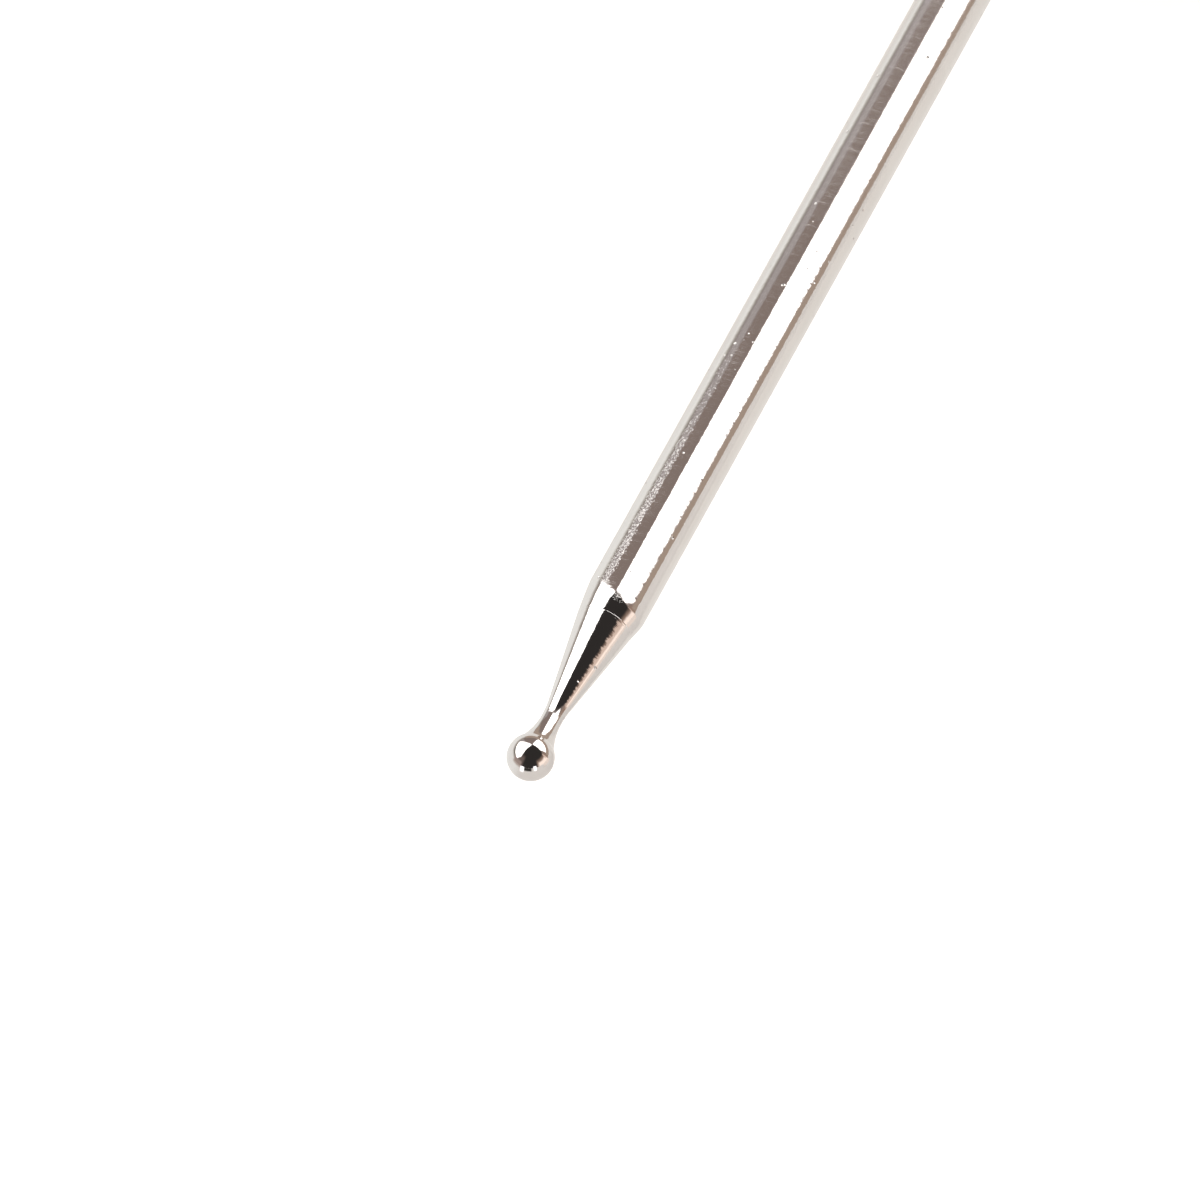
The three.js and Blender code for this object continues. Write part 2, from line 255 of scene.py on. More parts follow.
@dataclass(frozen=True)
class TurningAxis:
    """A line that a piece is turned about."""

    origin: Vector
    along: Vector
    across: Vector

    def place(self, radius: float, station: float, angle: float) -> Vector:
        """Gives a point of a turned surface.

        Args:
            radius: Distance from the axis.
            station: Distance along the axis from its origin.
            angle: Turn about the axis, in radians.

        Returns:
            The point, in the frame.
        """
        upright = self.along.cross(self.across)
        spoke = self.across * cos(angle) + upright * sin(angle)
        return self.origin + self.along * station + spoke * radius


@dataclass(frozen=True)
class Span:
    """How far a CAD node reaches along the tool."""

    start: float
    end: float
    radius: float


class ToolAxis(TurningAxis):
    """The tool's own axis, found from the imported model."""

    @classmethod
    def from_frame(cls) -> "ToolAxis":
        """Finds the axis from the needle's box.

        Returns:
            The axis, with its origin at the ball's tip.
        """
        low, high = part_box("ball_needle")
        origin = Vector((low.x, (low.y + high.y) / 2, (low.z + high.z) / 2))
        return cls(origin, Vector((1, 0, 0)), Vector((0, 1, 0)))

    def span(self, node: str) -> Span:
        """Returns a CAD node's first and last station and half its width."""
        low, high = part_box(node)
        return Span(low.x - self.origin.x, high.x - self.origin.x, (high.y - low.y) / 2)


@dataclass(frozen=True)
class Corner:
    """A corner of a turned outline, sharp or rounded."""

    radius: float
    station: float
    rounding: float = 0.0
    wear: float = 0.0
    carve: float = 0.0


@dataclass(frozen=True)
class Ring:
    """One ring of a turned mesh."""

    radius: float
    station: float
    wear: float
    carve: float


def arc(centre: tuple[float, float], radius: float, start: float, end: float,
        step: float = radians(2.5)) -> list[Corner]:
    """Gives the corners along a circular arc of an outline.

    Args:
        centre: The arc's centre, as radius and station.
        radius: The arc's radius.
        start: Its first angle, with 0 pointing away from the axis.
        end: Its last angle.
        step: The largest angle between corners.

    Returns:
        The corners, both ends included.
    """
    count = max(2, ceil(abs(end - start) / step))
    angles = [start + (end - start) * i / count for i in range(count + 1)]
    return [Corner(centre[0] + radius * cos(a), centre[1] + radius * sin(a)) for a in angles]


class Outline:
    """Turns corners into rings, with rounded corners and evenly spaced rings between them."""

    GUARD = 0.12 * MM
    ARC_STEP = radians(18)
    LONGEST_ROUNDING = 0.45

    def __init__(self, corners: Sequence[Corner], closed: bool, spacing: float) -> None:
        """Keeps the outline.

        Args:
            corners: The corners in order.
            closed: True for a ring that doesn't reach the axis.
            spacing: The largest distance between rings on a straight stretch.
        """
        self.corners = list(corners)
        self.closed = closed
        self.spacing = spacing

    def _rounded(self, index: int) -> list[Ring]:
        """Gives the rings of one corner.

        Args:
            index: The corner's place in the outline.

        Returns:
            One ring for a sharp corner, or an arc of rings.
        """
        corner = self.corners[index]
        if corner.rounding <= 0:
            return [Ring(corner.radius, corner.station, corner.wear, corner.carve)]
        here = Vector((corner.radius, corner.station))
        before = self.corners[index - 1]
        after = self.corners[(index + 1) % len(self.corners)]
        back = Vector((before.radius, before.station)) - here
        ahead = Vector((after.radius, after.station)) - here
        turn = pi - back.angle(ahead)
        reach = min(corner.rounding * tan(turn / 2), self.LONGEST_ROUNDING * back.length,
                    self.LONGEST_ROUNDING * ahead.length)
        radius = reach / tan(turn / 2)
        middle = (back.normalized() + ahead.normalized()).normalized()
        centre = here + middle * (radius / cos(turn / 2))
        first = here + back.normalized() * reach - centre
        sense = 1.0 if back.cross(ahead) < 0 else -1.0
        steps = max(2, ceil(turn / self.ARC_STEP))
        rings = []
        for i in range(steps + 1):
            angle = sense * turn * i / steps
            spoke = Vector((first.x * cos(angle) - first.y * sin(angle),
                            first.x * sin(angle) + first.y * cos(angle)))
            place = centre + spoke
            rings.append(Ring(place.x, place.y, corner.wear, corner.carve))
        return rings

    def _between(self, first: Ring, second: Ring) -> list[Ring]:
        """Gives the rings on a straight stretch, its ends left out.

        Args:
            first: The ring before the stretch.
            second: The ring after it.

        Returns:
            A guard ring near each end, and evenly spaced ones between.
        """
        length = hypot(second.radius - first.radius, second.station - first.station)
        if length <= 4 * self.GUARD:
            return []
        edge = self.GUARD / length
        inner = 1 - 2 * self.GUARD / length
        count = ceil((length - 2 * self.GUARD) / self.spacing)
        shares = sorted([edge, 1 - edge] + [edge + inner * i / count for i in range(1, count)])
        return [Ring(first.radius + (second.radius - first.radius) * share,
                     first.station + (second.station - first.station) * share,
                     0.0, min(first.carve, second.carve)) for share in shares]

    def rings(self) -> list[Ring]:
        """Gives every ring of the mesh.

        Returns:
            The rings in order.
        """
        groups = [self._rounded(i) for i in range(len(self.corners))]
        rings: list[Ring] = []
        for i, group in enumerate(groups):
            rings += group
            if i < len(groups) - 1 or self.closed:
                rings += self._between(group[-1], groups[(i + 1) % len(groups)][0])
        return rings


def turned_piece(name: str, outline: Outline, axis: TurningAxis, sides: int, material: Material) -> Piece:
    """Makes a turned piece as one closed mesh.

    Args:
        name: The piece's name.
        outline: Its outline.
        axis: The line it is turned about.
        sides: How many sides it has round the axis.
        material: Its finish.

    Returns:
        The piece's object.
    """
    work = bmesh.new()
    wear = work.verts.layers.float.new(Stored.WEAR.value)
    carve = work.verts.layers.float.new(Stored.CARVE.value)
    loops = []
    for ring in outline.rings():
        angles = [FULL_TURN * i / sides for i in range(1 if ring.radius < ON_AXIS else sides)]
        loop = [work.verts.new(axis.place(ring.radius, ring.station, angle)) for angle in angles]
        for vertex in loop:
            vertex[wear] = ring.wear
            vertex[carve] = ring.carve
        loops.append(loop)
    pairs = list(zip(loops, loops[1:]))
    if outline.closed:
        pairs.append((loops[-1], loops[0]))
    for first, second in pairs:
        for i in range(sides):
            j = (i + 1) % sides
            around = [first[i % len(first)], first[j % len(first)],
                      second[j % len(second)], second[i % len(second)]]
            corners = list(dict.fromkeys(around))
            if len(corners) > 2:
                work.faces.new(corners)
    bmesh.ops.recalc_face_normals(work, faces=work.faces)
    mesh = bpy.data.meshes.new(name)
    work.to_mesh(mesh)
    work.free()
    mesh.materials.append(material)
    piece = bpy.data.objects.new(name, mesh)
    bpy.context.scene.collection.objects.link(piece)
    smooth(piece)
    return piece


def smooth(piece: Piece, sharp_angle: float = radians(32)) -> None:
    """Shades a piece smoothly, with edges that turn by more than an angle kept sharp."""
    piece.data.shade_smooth()
    piece.data.set_sharp_from_angle(angle=sharp_angle)


class GeometryTree(NodeGroup):
    """A Geometry Nodes tree that reshapes one turned piece."""

    KIND = "GeometryNodeTree"
    LEAD = {
        "Geometry": SocketKind.GEOMETRY,
        "Axis Height": SocketKind.NUMBER,
        "Material": SocketKind.MATERIAL,
    }
    RESULTS = ("Geometry",)
    RESULT_KIND = SocketKind.GEOMETRY

    def draw(self) -> Sequence[Socket]:
        """Makes the reshaped geometry real and gives it its material.

        Returns:
            The geometry.
        """
        real = self.graph.add("GeometryNodeRealizeInstances", {"Geometry": self.shape()}).outputs[0]
        inputs = {"Geometry": real, "Material": self.given["Material"]}
        return [self.graph.add("GeometryNodeSetMaterial", inputs).outputs[0]]

    def shape(self) -> Socket:
        """Returns the reshaped geometry."""
        raise NotImplementedError

    def point(self) -> tuple[Socket, Socket, Socket]:
        """Returns a point's x, its y and its height above the axis."""
        place = self.graph.split(self.graph.add("GeometryNodeInputPosition").outputs[0])
        return place["X"], place["Y"], self.graph.math("SUBTRACT", place["Z"], self.given["Axis Height"])

    def polar(self) -> tuple[Socket, Socket, Socket]:
        """Reads a point's place round the tool.

        Returns:
            Its turn in full turns, its radius and its x.
        """
        graph = self.graph
        along, aside, rise = self.point()
        turn = graph.math("DIVIDE", graph.math("ARCTAN2", rise, aside), FULL_TURN)
        squares = graph.math("ADD", graph.math("MULTIPLY", rise, rise), graph.math("MULTIPLY", aside, aside))
        return turn, graph.math("SQRT", squares), along

    def stored(self, value: Stored) -> Socket:
        """Returns a value that the mesh keeps."""
        return self.graph.add("GeometryNodeInputNamedAttribute", {"Name": value.value},
                              data_type="FLOAT").outputs["Attribute"]

    def drawn_in(self, old: Socket, new: Socket) -> Socket:
        """Moves each point to a new radius where its carve value is 1.

        Args:
            old: The point's radius.
            new: The radius it is cut to.

        Returns:
            The geometry.
        """
        graph = self.graph
        along, aside, rise = self.point()
        change = graph.math("SUBTRACT", graph.math("DIVIDE", new, graph.math("MAXIMUM", old, ON_AXIS)), 1.0)
        factor = graph.math("MULTIPLY_ADD", change, self.stored(Stored.CARVE), 1.0)
        height = graph.math("MULTIPLY_ADD", rise, factor, self.given["Axis Height"])
        moved = graph.combine(X=along, Y=graph.math("MULTIPLY", aside, factor), Z=height)
        inputs = {"Geometry": self.given["Geometry"], "Position": moved}
        return graph.add("GeometryNodeSetPosition", inputs).outputs[0]

    def worn(self, shape: Socket, mask: Socket) -> Socket:
        """Stores where carving has left an edge that wears.

        Args:
            shape: The geometry.
            mask: 1 on an edge.

        Returns:
            The geometry.
        """
        edge = self.graph.math("MULTIPLY", mask, self.stored(Stored.CARVE))
        wear = self.graph.math("MAXIMUM", edge, self.stored(Stored.WEAR))
        inputs = {"Geometry": shape, "Name": Stored.WEAR.value, "Value": wear}
        return self.graph.add("GeometryNodeStoreNamedAttribute", inputs, data_type="FLOAT",
                              domain="POINT").outputs[0]

    def cut_out(self, cutter: Socket, **options: Input) -> Socket:
        """Returns the piece with a cutter's shape taken out of it."""
        inputs = {"Mesh 1": self.given["Geometry"], "Mesh 2": cutter, **options}
        return self.graph.add("GeometryNodeMeshBoolean", inputs, operation="DIFFERENCE",
                              solver="EXACT").outputs["Mesh"]


class CutFlutes(GeometryTree):
    """Cuts flutes along a band, or a thread where the flutes have a lead."""

    NAME = "cut_flutes"
    NUMBERS = ("Count", "Turns Per Metre", "Outer Radius", "Depth", "Crest Share")
    CREST_WEAR = (0.02, 0.3)

    def shape(self) -> Socket:
        """Cuts the flutes.

        Returns:
            The fluted geometry.
        """
        graph, given = self.graph, self.given
        turn, radius, along = self.polar()
        round_phase = graph.math("MULTIPLY", turn, given["Count"])
        phase = graph.math("FRACT", graph.math("MULTIPLY_ADD", along, given["Turns Per Metre"], round_phase))
        past_crest = graph.math("MAXIMUM", graph.math("SUBTRACT", phase, given["Crest Share"]), 0.0)
        share = graph.math("DIVIDE", past_crest, graph.math("SUBTRACT", 1.0, given["Crest Share"]))
        fold = graph.math("ABSOLUTE", graph.math("MULTIPLY_ADD", share, 2.0, -1.0))
        cut = graph.math("SUBTRACT", 1.0, fold)
        floor = graph.math("SUBTRACT", given["Outer Radius"], graph.math("MULTIPLY", cut, given["Depth"]))
        shape = self.drawn_in(radius, graph.math("MINIMUM", radius, floor))
        return self.worn(shape, graph.fall(cut, *self.CREST_WEAR))


class FlattenSides(GeometryTree):
    """Planes flat sides on a turned blank."""

    NAME = "flatten_sides"
    NUMBERS = ("Sides", "Apothem", "Corner Rounding", "Blend")
    CORNER_WEAR = (0.44, 0.5)
    STEP_WEAR = (0.0, 0.25 * MM)

    def shape(self) -> Socket:
        """Planes the sides.

        Returns:
            The planed geometry.
        """
        graph, given = self.graph, self.given
        turn, radius, _ = self.polar()
        count = graph.math("MULTIPLY_ADD", turn, given["Sides"], 0.5)
        off_middle = graph.math("SUBTRACT", graph.math("FRACT", count), 0.5)
        side_angle = graph.math("DIVIDE", FULL_TURN, given["Sides"])
        flat, corner = (
            graph.math("DIVIDE", given["Apothem"], graph.math("COSINE", graph.math("MULTIPLY", *angle)))
            for angle in ((off_middle, side_angle), (side_angle, 0.5)))
        eased = graph.math("SUBTRACT", corner, given["Corner Rounding"])
        section = graph.math("SMOOTH_MIN", flat, eased, given["Corner Rounding"])
        shape = self.drawn_in(radius, graph.math("SMOOTH_MIN", radius, section, given["Blend"]))
        at_corner = graph.ramp(graph.math("ABSOLUTE", off_middle), *self.CORNER_WEAR)
        step = graph.math("ABSOLUTE", graph.math("SUBTRACT", radius, section))
        return self.worn(shape, graph.math("MAXIMUM", at_corner, graph.fall(step, *self.STEP_WEAR)))


class SawSlots(GeometryTree):
    """Saws slots across the axis, evenly turned about it."""

    NAME = "saw_slots"
    NUMBERS = ("Cuts", "Width", "Length", "Span", "Start")

    def shape(self) -> Socket:
        """Saws the slots.

        Returns:
            The slotted geometry.
        """
        graph, given = self.graph, self.given
        size = graph.combine(X=given["Length"], Y=given["Span"], Z=given["Width"])
        blade = graph.add("GeometryNodeMeshCube", {"Size": size}).outputs["Mesh"]
        middle = graph.combine(X=graph.math("MULTIPLY_ADD", given["Length"], 0.5, given["Start"]),
                               Z=given["Axis Height"])
        spots = graph.add("GeometryNodePoints", {"Count": given["Cuts"], "Position": middle}).outputs[0]
        step = graph.math("DIVIDE", pi, given["Cuts"])
        turn = graph.math("MULTIPLY", graph.add("GeometryNodeInputIndex").outputs[0], step)
        inputs = {"Points": spots, "Instance": blade, "Rotation": graph.combine(X=turn)}
        blades = graph.add("GeometryNodeInstanceOnPoints", inputs).outputs[0]
        cutters = graph.add("GeometryNodeRealizeInstances", {"Geometry": blades}).outputs[0]
        return self.cut_out(cutters, **{"Self Intersection": True})


class DrillAcross(GeometryTree):
    """Drills one round hole across the axis, along Y."""

    NAME = "drill_across"
    NUMBERS = ("Hole Radius", "Reach", "Place")
    HOLE_SIDES = 48

    def shape(self) -> Socket:
        """Drills the hole.

        Returns:
            The drilled geometry.
        """
        graph, given = self.graph, self.given
        sizes = {"Vertices": self.HOLE_SIDES, "Radius": given["Hole Radius"], "Depth": given["Reach"]}
        drill = graph.add("GeometryNodeMeshCylinder", sizes).outputs["Mesh"]
        return self.cut_out(graph.add("GeometryNodeTransform", {
            "Geometry": drill,
            "Translation": graph.combine(X=given["Place"], Z=given["Axis Height"]),
            "Rotation": (pi / 2, 0.0, 0.0),
        }).outputs[0])


class PlatingTexture(NodeGroup):
    """The fine relief of a turned and plated surface."""

    NAME = "plating_texture"
    NUMBERS = ("Ring Scale", "Ring Depth", "Peel Scale", "Peel Depth", "Pit Scale", "Pit Share", "Pit Depth")
    RESULTS = ("Height", "Pits", "Rings")
    RING_SHORTENING = 0.03
    RING_DETAIL, PEEL_DETAIL = 3.0, 1.0
    PIT_SPREAD, PIT_LEAST = 0.2, 0.1
    PIT_WALL = (0.0, 0.6)

    def draw(self) -> Sequence[Socket]:
        """Draws rings round the tool, a slow waviness and scattered pits.

        Returns:
            The height in metres, the pits and the rings.
        """
        graph, given = self.graph, self.given
        across = graph.math("MULTIPLY", given["Ring Scale"], self.RING_SHORTENING)
        ring_scale = graph.combine(X=given["Ring Scale"], Y=across, Z=across)
        ring_place = graph.vector("MULTIPLY", given["Vector"], ring_scale)["Vector"]
        rings = graph.noise(ring_place, 1.0, self.RING_DETAIL)
        peel = graph.noise(given["Vector"], given["Peel Scale"], self.PEEL_DETAIL)
        distance, chance, size = graph.cells(given["Vector"], given["Pit Scale"])
        chosen = graph.math("LESS_THAN", chance, given["Pit Share"])
        edge = graph.math("MULTIPLY_ADD", size, self.PIT_SPREAD, self.PIT_LEAST)
        inside = graph.math("SUBTRACT", 1.0, graph.math("DIVIDE", distance, edge))
        pits = graph.math("MULTIPLY", graph.ramp(inside, *self.PIT_WALL), chosen)
        height = graph.math("MULTIPLY", graph.math("SUBTRACT", rings, 0.5), given["Ring Depth"])
        height = graph.math("MULTIPLY_ADD", graph.math("SUBTRACT", peel, 0.5), given["Peel Depth"], height)
        height = graph.math("SUBTRACT", height, graph.math("MULTIPLY", pits, given["Pit Depth"]))
        return height, pits, rings


class EdgeWear(NodeGroup):
    """The ragged wear along edges."""

    NAME = "edge_wear"
    NUMBERS = ("Wear", "Scale", "Amount")
    RESULTS = ("Bare",)
    DETAIL = 4.0
    WORN_THROUGH = (0.3, 0.55)

    def draw(self) -> Sequence[Socket]:
        """Draws the wear.

        Returns:
            How bare the surface is worn.
        """
        graph, given = self.graph, self.given
        ragged = graph.noise(given["Vector"], given["Scale"], self.DETAIL)
        level = graph.math("MULTIPLY", given["Wear"], graph.math("MULTIPLY", ragged, given["Amount"]))
        return [graph.ramp(level, *self.WORN_THROUGH)]


class ScuffedPatch(NodeGroup):
    """A patch of fine scuffs on one side of a turned piece that lies along X."""

    NAME = "scuffed_patch"
    NUMBERS = ("Axis Height", "Angle", "Half Angle", "Start", "End", "Scale")
    RESULTS = ("Scuff",)
    ENTRY, FADE, SIDE_FADE = (0.0, 0.02), (0.1, 1.0), (0.3, 1.0)
    GRAIN_STRETCH = (0.6, 1.0, 1.0)
    THINNING = 0.35
    BROKEN = (0.44, 0.58)

    def draw(self) -> Sequence[Socket]:
        """Draws the patch.

        Returns:
            Where the polish is broken.
        """
        graph, given = self.graph, self.given
        place = graph.split(given["Vector"])
        angle = graph.math("ARCTAN2", graph.math("SUBTRACT", place["Z"], given["Axis Height"]), place["Y"])
        apart = graph.math("ABSOLUTE", graph.math("SUBTRACT", angle, given["Angle"]))
        off = graph.math("DIVIDE", apart, given["Half Angle"])
        share = graph.math("DIVIDE", graph.math("SUBTRACT", place["X"], given["Start"]),
                           graph.math("SUBTRACT", given["End"], given["Start"]))
        along = graph.math("MULTIPLY", graph.ramp(share, *self.ENTRY), graph.fall(share, *self.FADE))
        patch = graph.math("MULTIPLY", graph.fall(off, *self.SIDE_FADE), along)
        grain = graph.noise(graph.stretched(given["Vector"], self.GRAIN_STRETCH), given["Scale"])
        level = graph.math("ADD", grain, graph.math("MULTIPLY_ADD", patch, self.THINNING, -self.THINNING))
        return [graph.ramp(level, *self.BROKEN)]


class HandlingFilm(NodeGroup):
    """The faint film that hands and air leave on a surface."""

    NAME = "handling_film"
    NUMBERS = ("Scale",)
    RESULTS = ("Film",)
    PATCH_SHARE, SPECK_SHARE = 0.65, 0.35
    PATCH_DETAIL = 3.0
    SPECK_FINENESS = 11.0
    STRENGTH = (0.4, 0.66)

    def draw(self) -> Sequence[Socket]:
        """Draws patches with finer specks over them.

        Returns:
            The film's strength.
        """
        graph, given = self.graph, self.given
        painted_reflection_zones = graph.noise(given["Vector"], given["Scale"], self.PATCH_DETAIL)
        specks = graph.noise(given["Vector"], graph.math("MULTIPLY", given["Scale"], self.SPECK_FINENESS))
        painted_reflection_zones = graph.math("MULTIPLY", painted_reflection_zones, self.PATCH_SHARE)
        return [graph.ramp(graph.math("MULTIPLY_ADD", specks, self.SPECK_SHARE, painted_reflection_zones), *self.STRENGTH)]


class WoodFigure(NodeGroup):
    """The figure of close-grained wood that runs along X."""

    NAME = "wood_figure"
    NUMBERS = ("Ring Spacing", "Wobble", "Pore Depth", "Fibre Depth")
    RESULTS = ("Growth", "Fibre", "Pores", "Height")
    SWAY_STRETCH, FIBRE_STRETCH, PORE_STRETCH = (0.22, 1.0, 1.0), (0.04, 1.0, 1.0), (0.09, 1.0, 1.0)
    SWAY_SCALE, FIBRE_SCALE, PORE_SCALE = 130.0, 5200.0, 4200.0
    FIBRE_DETAIL = 3.0
    HEART_DRIFT = 0.06
    HEART_ASIDE, HEART_BELOW = 0.011, 0.019
    LATE_RISE, LATE_END = (0.15, 0.86), (0.9, 1.0)
    PORE_CROWDING = (0.0, 0.5, 0.42, 0.16)
    PORE_EDGE = (0.08, 0.26)

    def draw(self) -> Sequence[Socket]:
        """Draws growth rings about a heart beside the handle, with fibres and open pores.

        Returns:
            The late wood, the fibres, the pores and the height in metres.
        """
        graph, given = self.graph, self.given
        slow = graph.noise(graph.stretched(given["Vector"], self.SWAY_STRETCH), self.SWAY_SCALE)
        sway = graph.math("MULTIPLY", graph.math("SUBTRACT", slow, 0.5), given["Wobble"])
        place = graph.split(given["Vector"])
        off_heart = graph.combine(X=graph.math("MULTIPLY", place["X"], self.HEART_DRIFT),
                                  Y=graph.math("ADD", place["Y"], self.HEART_ASIDE),
                                  Z=graph.math("ADD", place["Z"], self.HEART_BELOW))
        reach = graph.vector("LENGTH", off_heart)["Value"]
        years = graph.math("DIVIDE", graph.math("ADD", reach, sway), given["Ring Spacing"])
        phase = graph.math("FRACT", years)
        late = graph.math("MULTIPLY", graph.ramp(phase, *self.LATE_RISE), graph.fall(phase, *self.LATE_END))
        fibre_place = graph.stretched(given["Vector"], self.FIBRE_STRETCH)
        fibre = graph.noise(fibre_place, self.FIBRE_SCALE, self.FIBRE_DETAIL)
        pore_place = graph.stretched(given["Vector"], self.PORE_STRETCH)
        distance, chance, _ = graph.cells(pore_place, self.PORE_SCALE)
        chosen = graph.math("LESS_THAN", chance, graph.ramp(phase, *self.PORE_CROWDING))
        pores = graph.math("MULTIPLY", graph.fall(distance, *self.PORE_EDGE), chosen)
        height = graph.math("MULTIPLY", graph.math("SUBTRACT", fibre, 0.5), given["Fibre Depth"])
        height = graph.math("SUBTRACT", height, graph.math("MULTIPLY", pores, given["Pore Depth"]))
        return late, fibre, pores, height


@dataclass(frozen=True)
class ScuffLook:
    """Where a metal piece is scuffed, and how coarse the scuffs are."""

    angle: float
    half_angle: float
    start: float
    end: float
    scale: float
    roughness: float
    axis_height: float = 6.5 * MM


@dataclass(frozen=True)
class MetalLook:
    """The values that tell one metal finish from another."""

    name: str
    colour: Colour
    shade: Colour
    bare: Colour
    roughness: float
    film_roughness: float
    film_scale: float = 420.0
    film_tint: float = 0.3
    wear_amount: float = 1.0
    ring_scale: float = 16000.0
    ring_depth: float = 0.25e-6
    peel_scale: float = 3200.0
    peel_depth: float = 0.8e-6
    pit_scale: float = 5200.0
    pit_share: float = 0.02
    pit_depth: float = 6.0e-6
    pit_roughness: float = 0.0
    scuffs: tuple[ScuffLook, ...] = ()
    haze: float = 0.0
    haze_start: float = 0.0
    haze_end: float = 0.001


@dataclass(frozen=True)
class WoodLook:
    """The oiled hardwood's values."""

    name: str
    early: Colour
    late: Colour
    pore: Colour
    handled: Colour
    roughness: float
    ring_spacing: float = 1.7 * MM
    wobble: float = 4.2 * MM
    pore_depth: float = 0.05 * MM
    fibre_depth: float = 0.012 * MM
    film_scale: float = 90.0
    film_tint: float = 0.45
    film_polish: float = 0.08
    wear_scale: float = 900.0
    wear_amount: float = 1.1
    edge_tint: float = 0.5
    pore_tint: float = 0.8
    pore_roughness: float = 0.2
    fibre_roughness: float = 0.16
    specular: float = 0.36
    oil: float = 0.06
    oil_roughness: float = 0.25


class Finish:
    """What every finish shares: a material, its coordinates, its stored wear and its shader."""

    def __init__(self, look: MetalLook | WoodLook) -> None:
        """Starts the material.

        Args:
            look: The finish's values.
        """
        self.look = look
        self.material = bpy.data.materials.new(look.name)
        self.material.use_nodes = True
        self.graph = Graph(self.material.node_tree)
        self.shader = self.material.node_tree.nodes["Principled BSDF"]
        self.vector = self.graph.add("ShaderNodeTexCoord").outputs["Object"]
        self.wear = self.graph.add("ShaderNodeAttribute", attribute_name=Stored.WEAR.value).outputs["Fac"]

    def effect(self, kind: type[NodeGroup], source: object = None,
               **values: Input) -> bpy.types.bpy_prop_collection:
        """Places an effect's group in the material.

        Args:
            kind: The effect.
            source: What has the effect's numbers as its fields, where values doesn't give them.
            values: The effect's other numbers, by their field names.

        Returns:
            The group's outputs.
        """
        inputs = {"Vector": self.vector}
        for name in kind.NUMBERS:
            key = name.lower().replace(" ", "_")
            inputs[name] = values[key] if key in values else getattr(source, key)
        return self.graph.add("ShaderNodeGroup", inputs, node_tree=built(kind)).outputs

    def finish(self, colour: Socket, roughness: Socket, height: Socket, **plain: float) -> None:
        """Feeds the shader.

        Args:
            colour: The base colour.
            roughness: The roughness.
            height: The relief's height in metres.
            plain: The inputs that are the same all over, with underscores for spaces.
        """
        bump = self.graph.add("ShaderNodeBump", {"Strength": 1.0, "Distance": 1.0, "Height": height})
        inputs = {"Base Color": colour, "Roughness": roughness, "Normal": bump.outputs[0]}
        inputs |= {name.replace("_", " "): value for name, value in plain.items()}
        self.graph.fill(self.shader, inputs)


class Metal(Finish):
    """A turned metal surface: film, wear at its edges, fine rings, waviness and pits."""

    WEAR_SCALE = 2600.0
    RING_ROUGHNESS = 0.05
    BARE_ROUGHNESS = 0.1

    def build(self) -> Material:
        """Builds the finish.

        Returns:
            The material.
        """
        graph, look = self.graph, self.look
        texture = self.effect(PlatingTexture, look)
        film = self.effect(HandlingFilm, scale=look.film_scale)["Film"]
        bare = self.effect(EdgeWear, wear=self.wear, scale=self.WEAR_SCALE, amount=look.wear_amount)["Bare"]
        colour = graph.mix(graph.math("MULTIPLY", film, look.film_tint), look.colour, look.shade)
        colour = graph.mix(texture["Pits"], colour, look.shade)
        colour = graph.mix(bare, colour, look.bare)
        smoothest = look.roughness - self.RING_ROUGHNESS / 2
        rough = graph.math("MULTIPLY_ADD", texture["Rings"], self.RING_ROUGHNESS, smoothest)
        rough = graph.math("MULTIPLY_ADD", film, look.film_roughness, rough)
        rough = graph.math("MULTIPLY_ADD", texture["Pits"], look.pit_roughness, rough)
        rough = graph.math("MULTIPLY_ADD", bare, self.BARE_ROUGHNESS, rough)
        for scuff in look.scuffs:
            mask = self.effect(ScuffedPatch, scuff)["Scuff"]
            rough = graph.math("MULTIPLY_ADD", mask, scuff.roughness, rough)
        if look.haze:
            along = graph.split(self.vector)["X"]
            haze = graph.ramp(along, look.haze_start, look.haze_end, 0.0, look.haze)
            rough = graph.math("ADD", rough, haze)
        self.finish(colour, rough, texture["Height"], Metallic=1.0)
        return self.material


class OiledWood(Finish):
    """Oiled hardwood: growth rings, fibres, open pores, and edges that hands have polished."""

    FIBRE_TINT = (0.35, 0.75, 0.0, 0.6)

    def build(self) -> Material:
        """Builds the finish.

        Returns:
            The material.
        """
        graph, look = self.graph, self.look
        figure = self.effect(WoodFigure, look)
        film = self.effect(HandlingFilm, scale=look.film_scale)["Film"]
        polished = self.effect(EdgeWear, wear=self.wear, scale=look.wear_scale,
                               amount=look.wear_amount)["Bare"]
        colour = graph.mix(figure["Growth"], look.early, look.late)
        colour = graph.mix(graph.ramp(figure["Fibre"], *self.FIBRE_TINT), colour, look.late)
        colour = graph.mix(graph.math("MULTIPLY", film, look.film_tint), colour, look.handled)
        colour = graph.mix(graph.math("MULTIPLY", polished, look.edge_tint), colour, look.early)
        colour = graph.mix(graph.math("MULTIPLY", figure["Pores"], look.pore_tint), colour, look.pore)
        rough = graph.math("MULTIPLY_ADD", figure["Fibre"], look.fibre_roughness, look.roughness)
        rough = graph.math("MULTIPLY_ADD", figure["Pores"], look.pore_roughness, rough)
        rough = graph.math("MULTIPLY_ADD", film, -look.film_polish, rough)
        self.finish(colour, rough, figure["Height"], Specular_IOR_Level=look.specular,
                    Coat_Weight=look.oil, Coat_Roughness=look.oil_roughness)
        return self.material


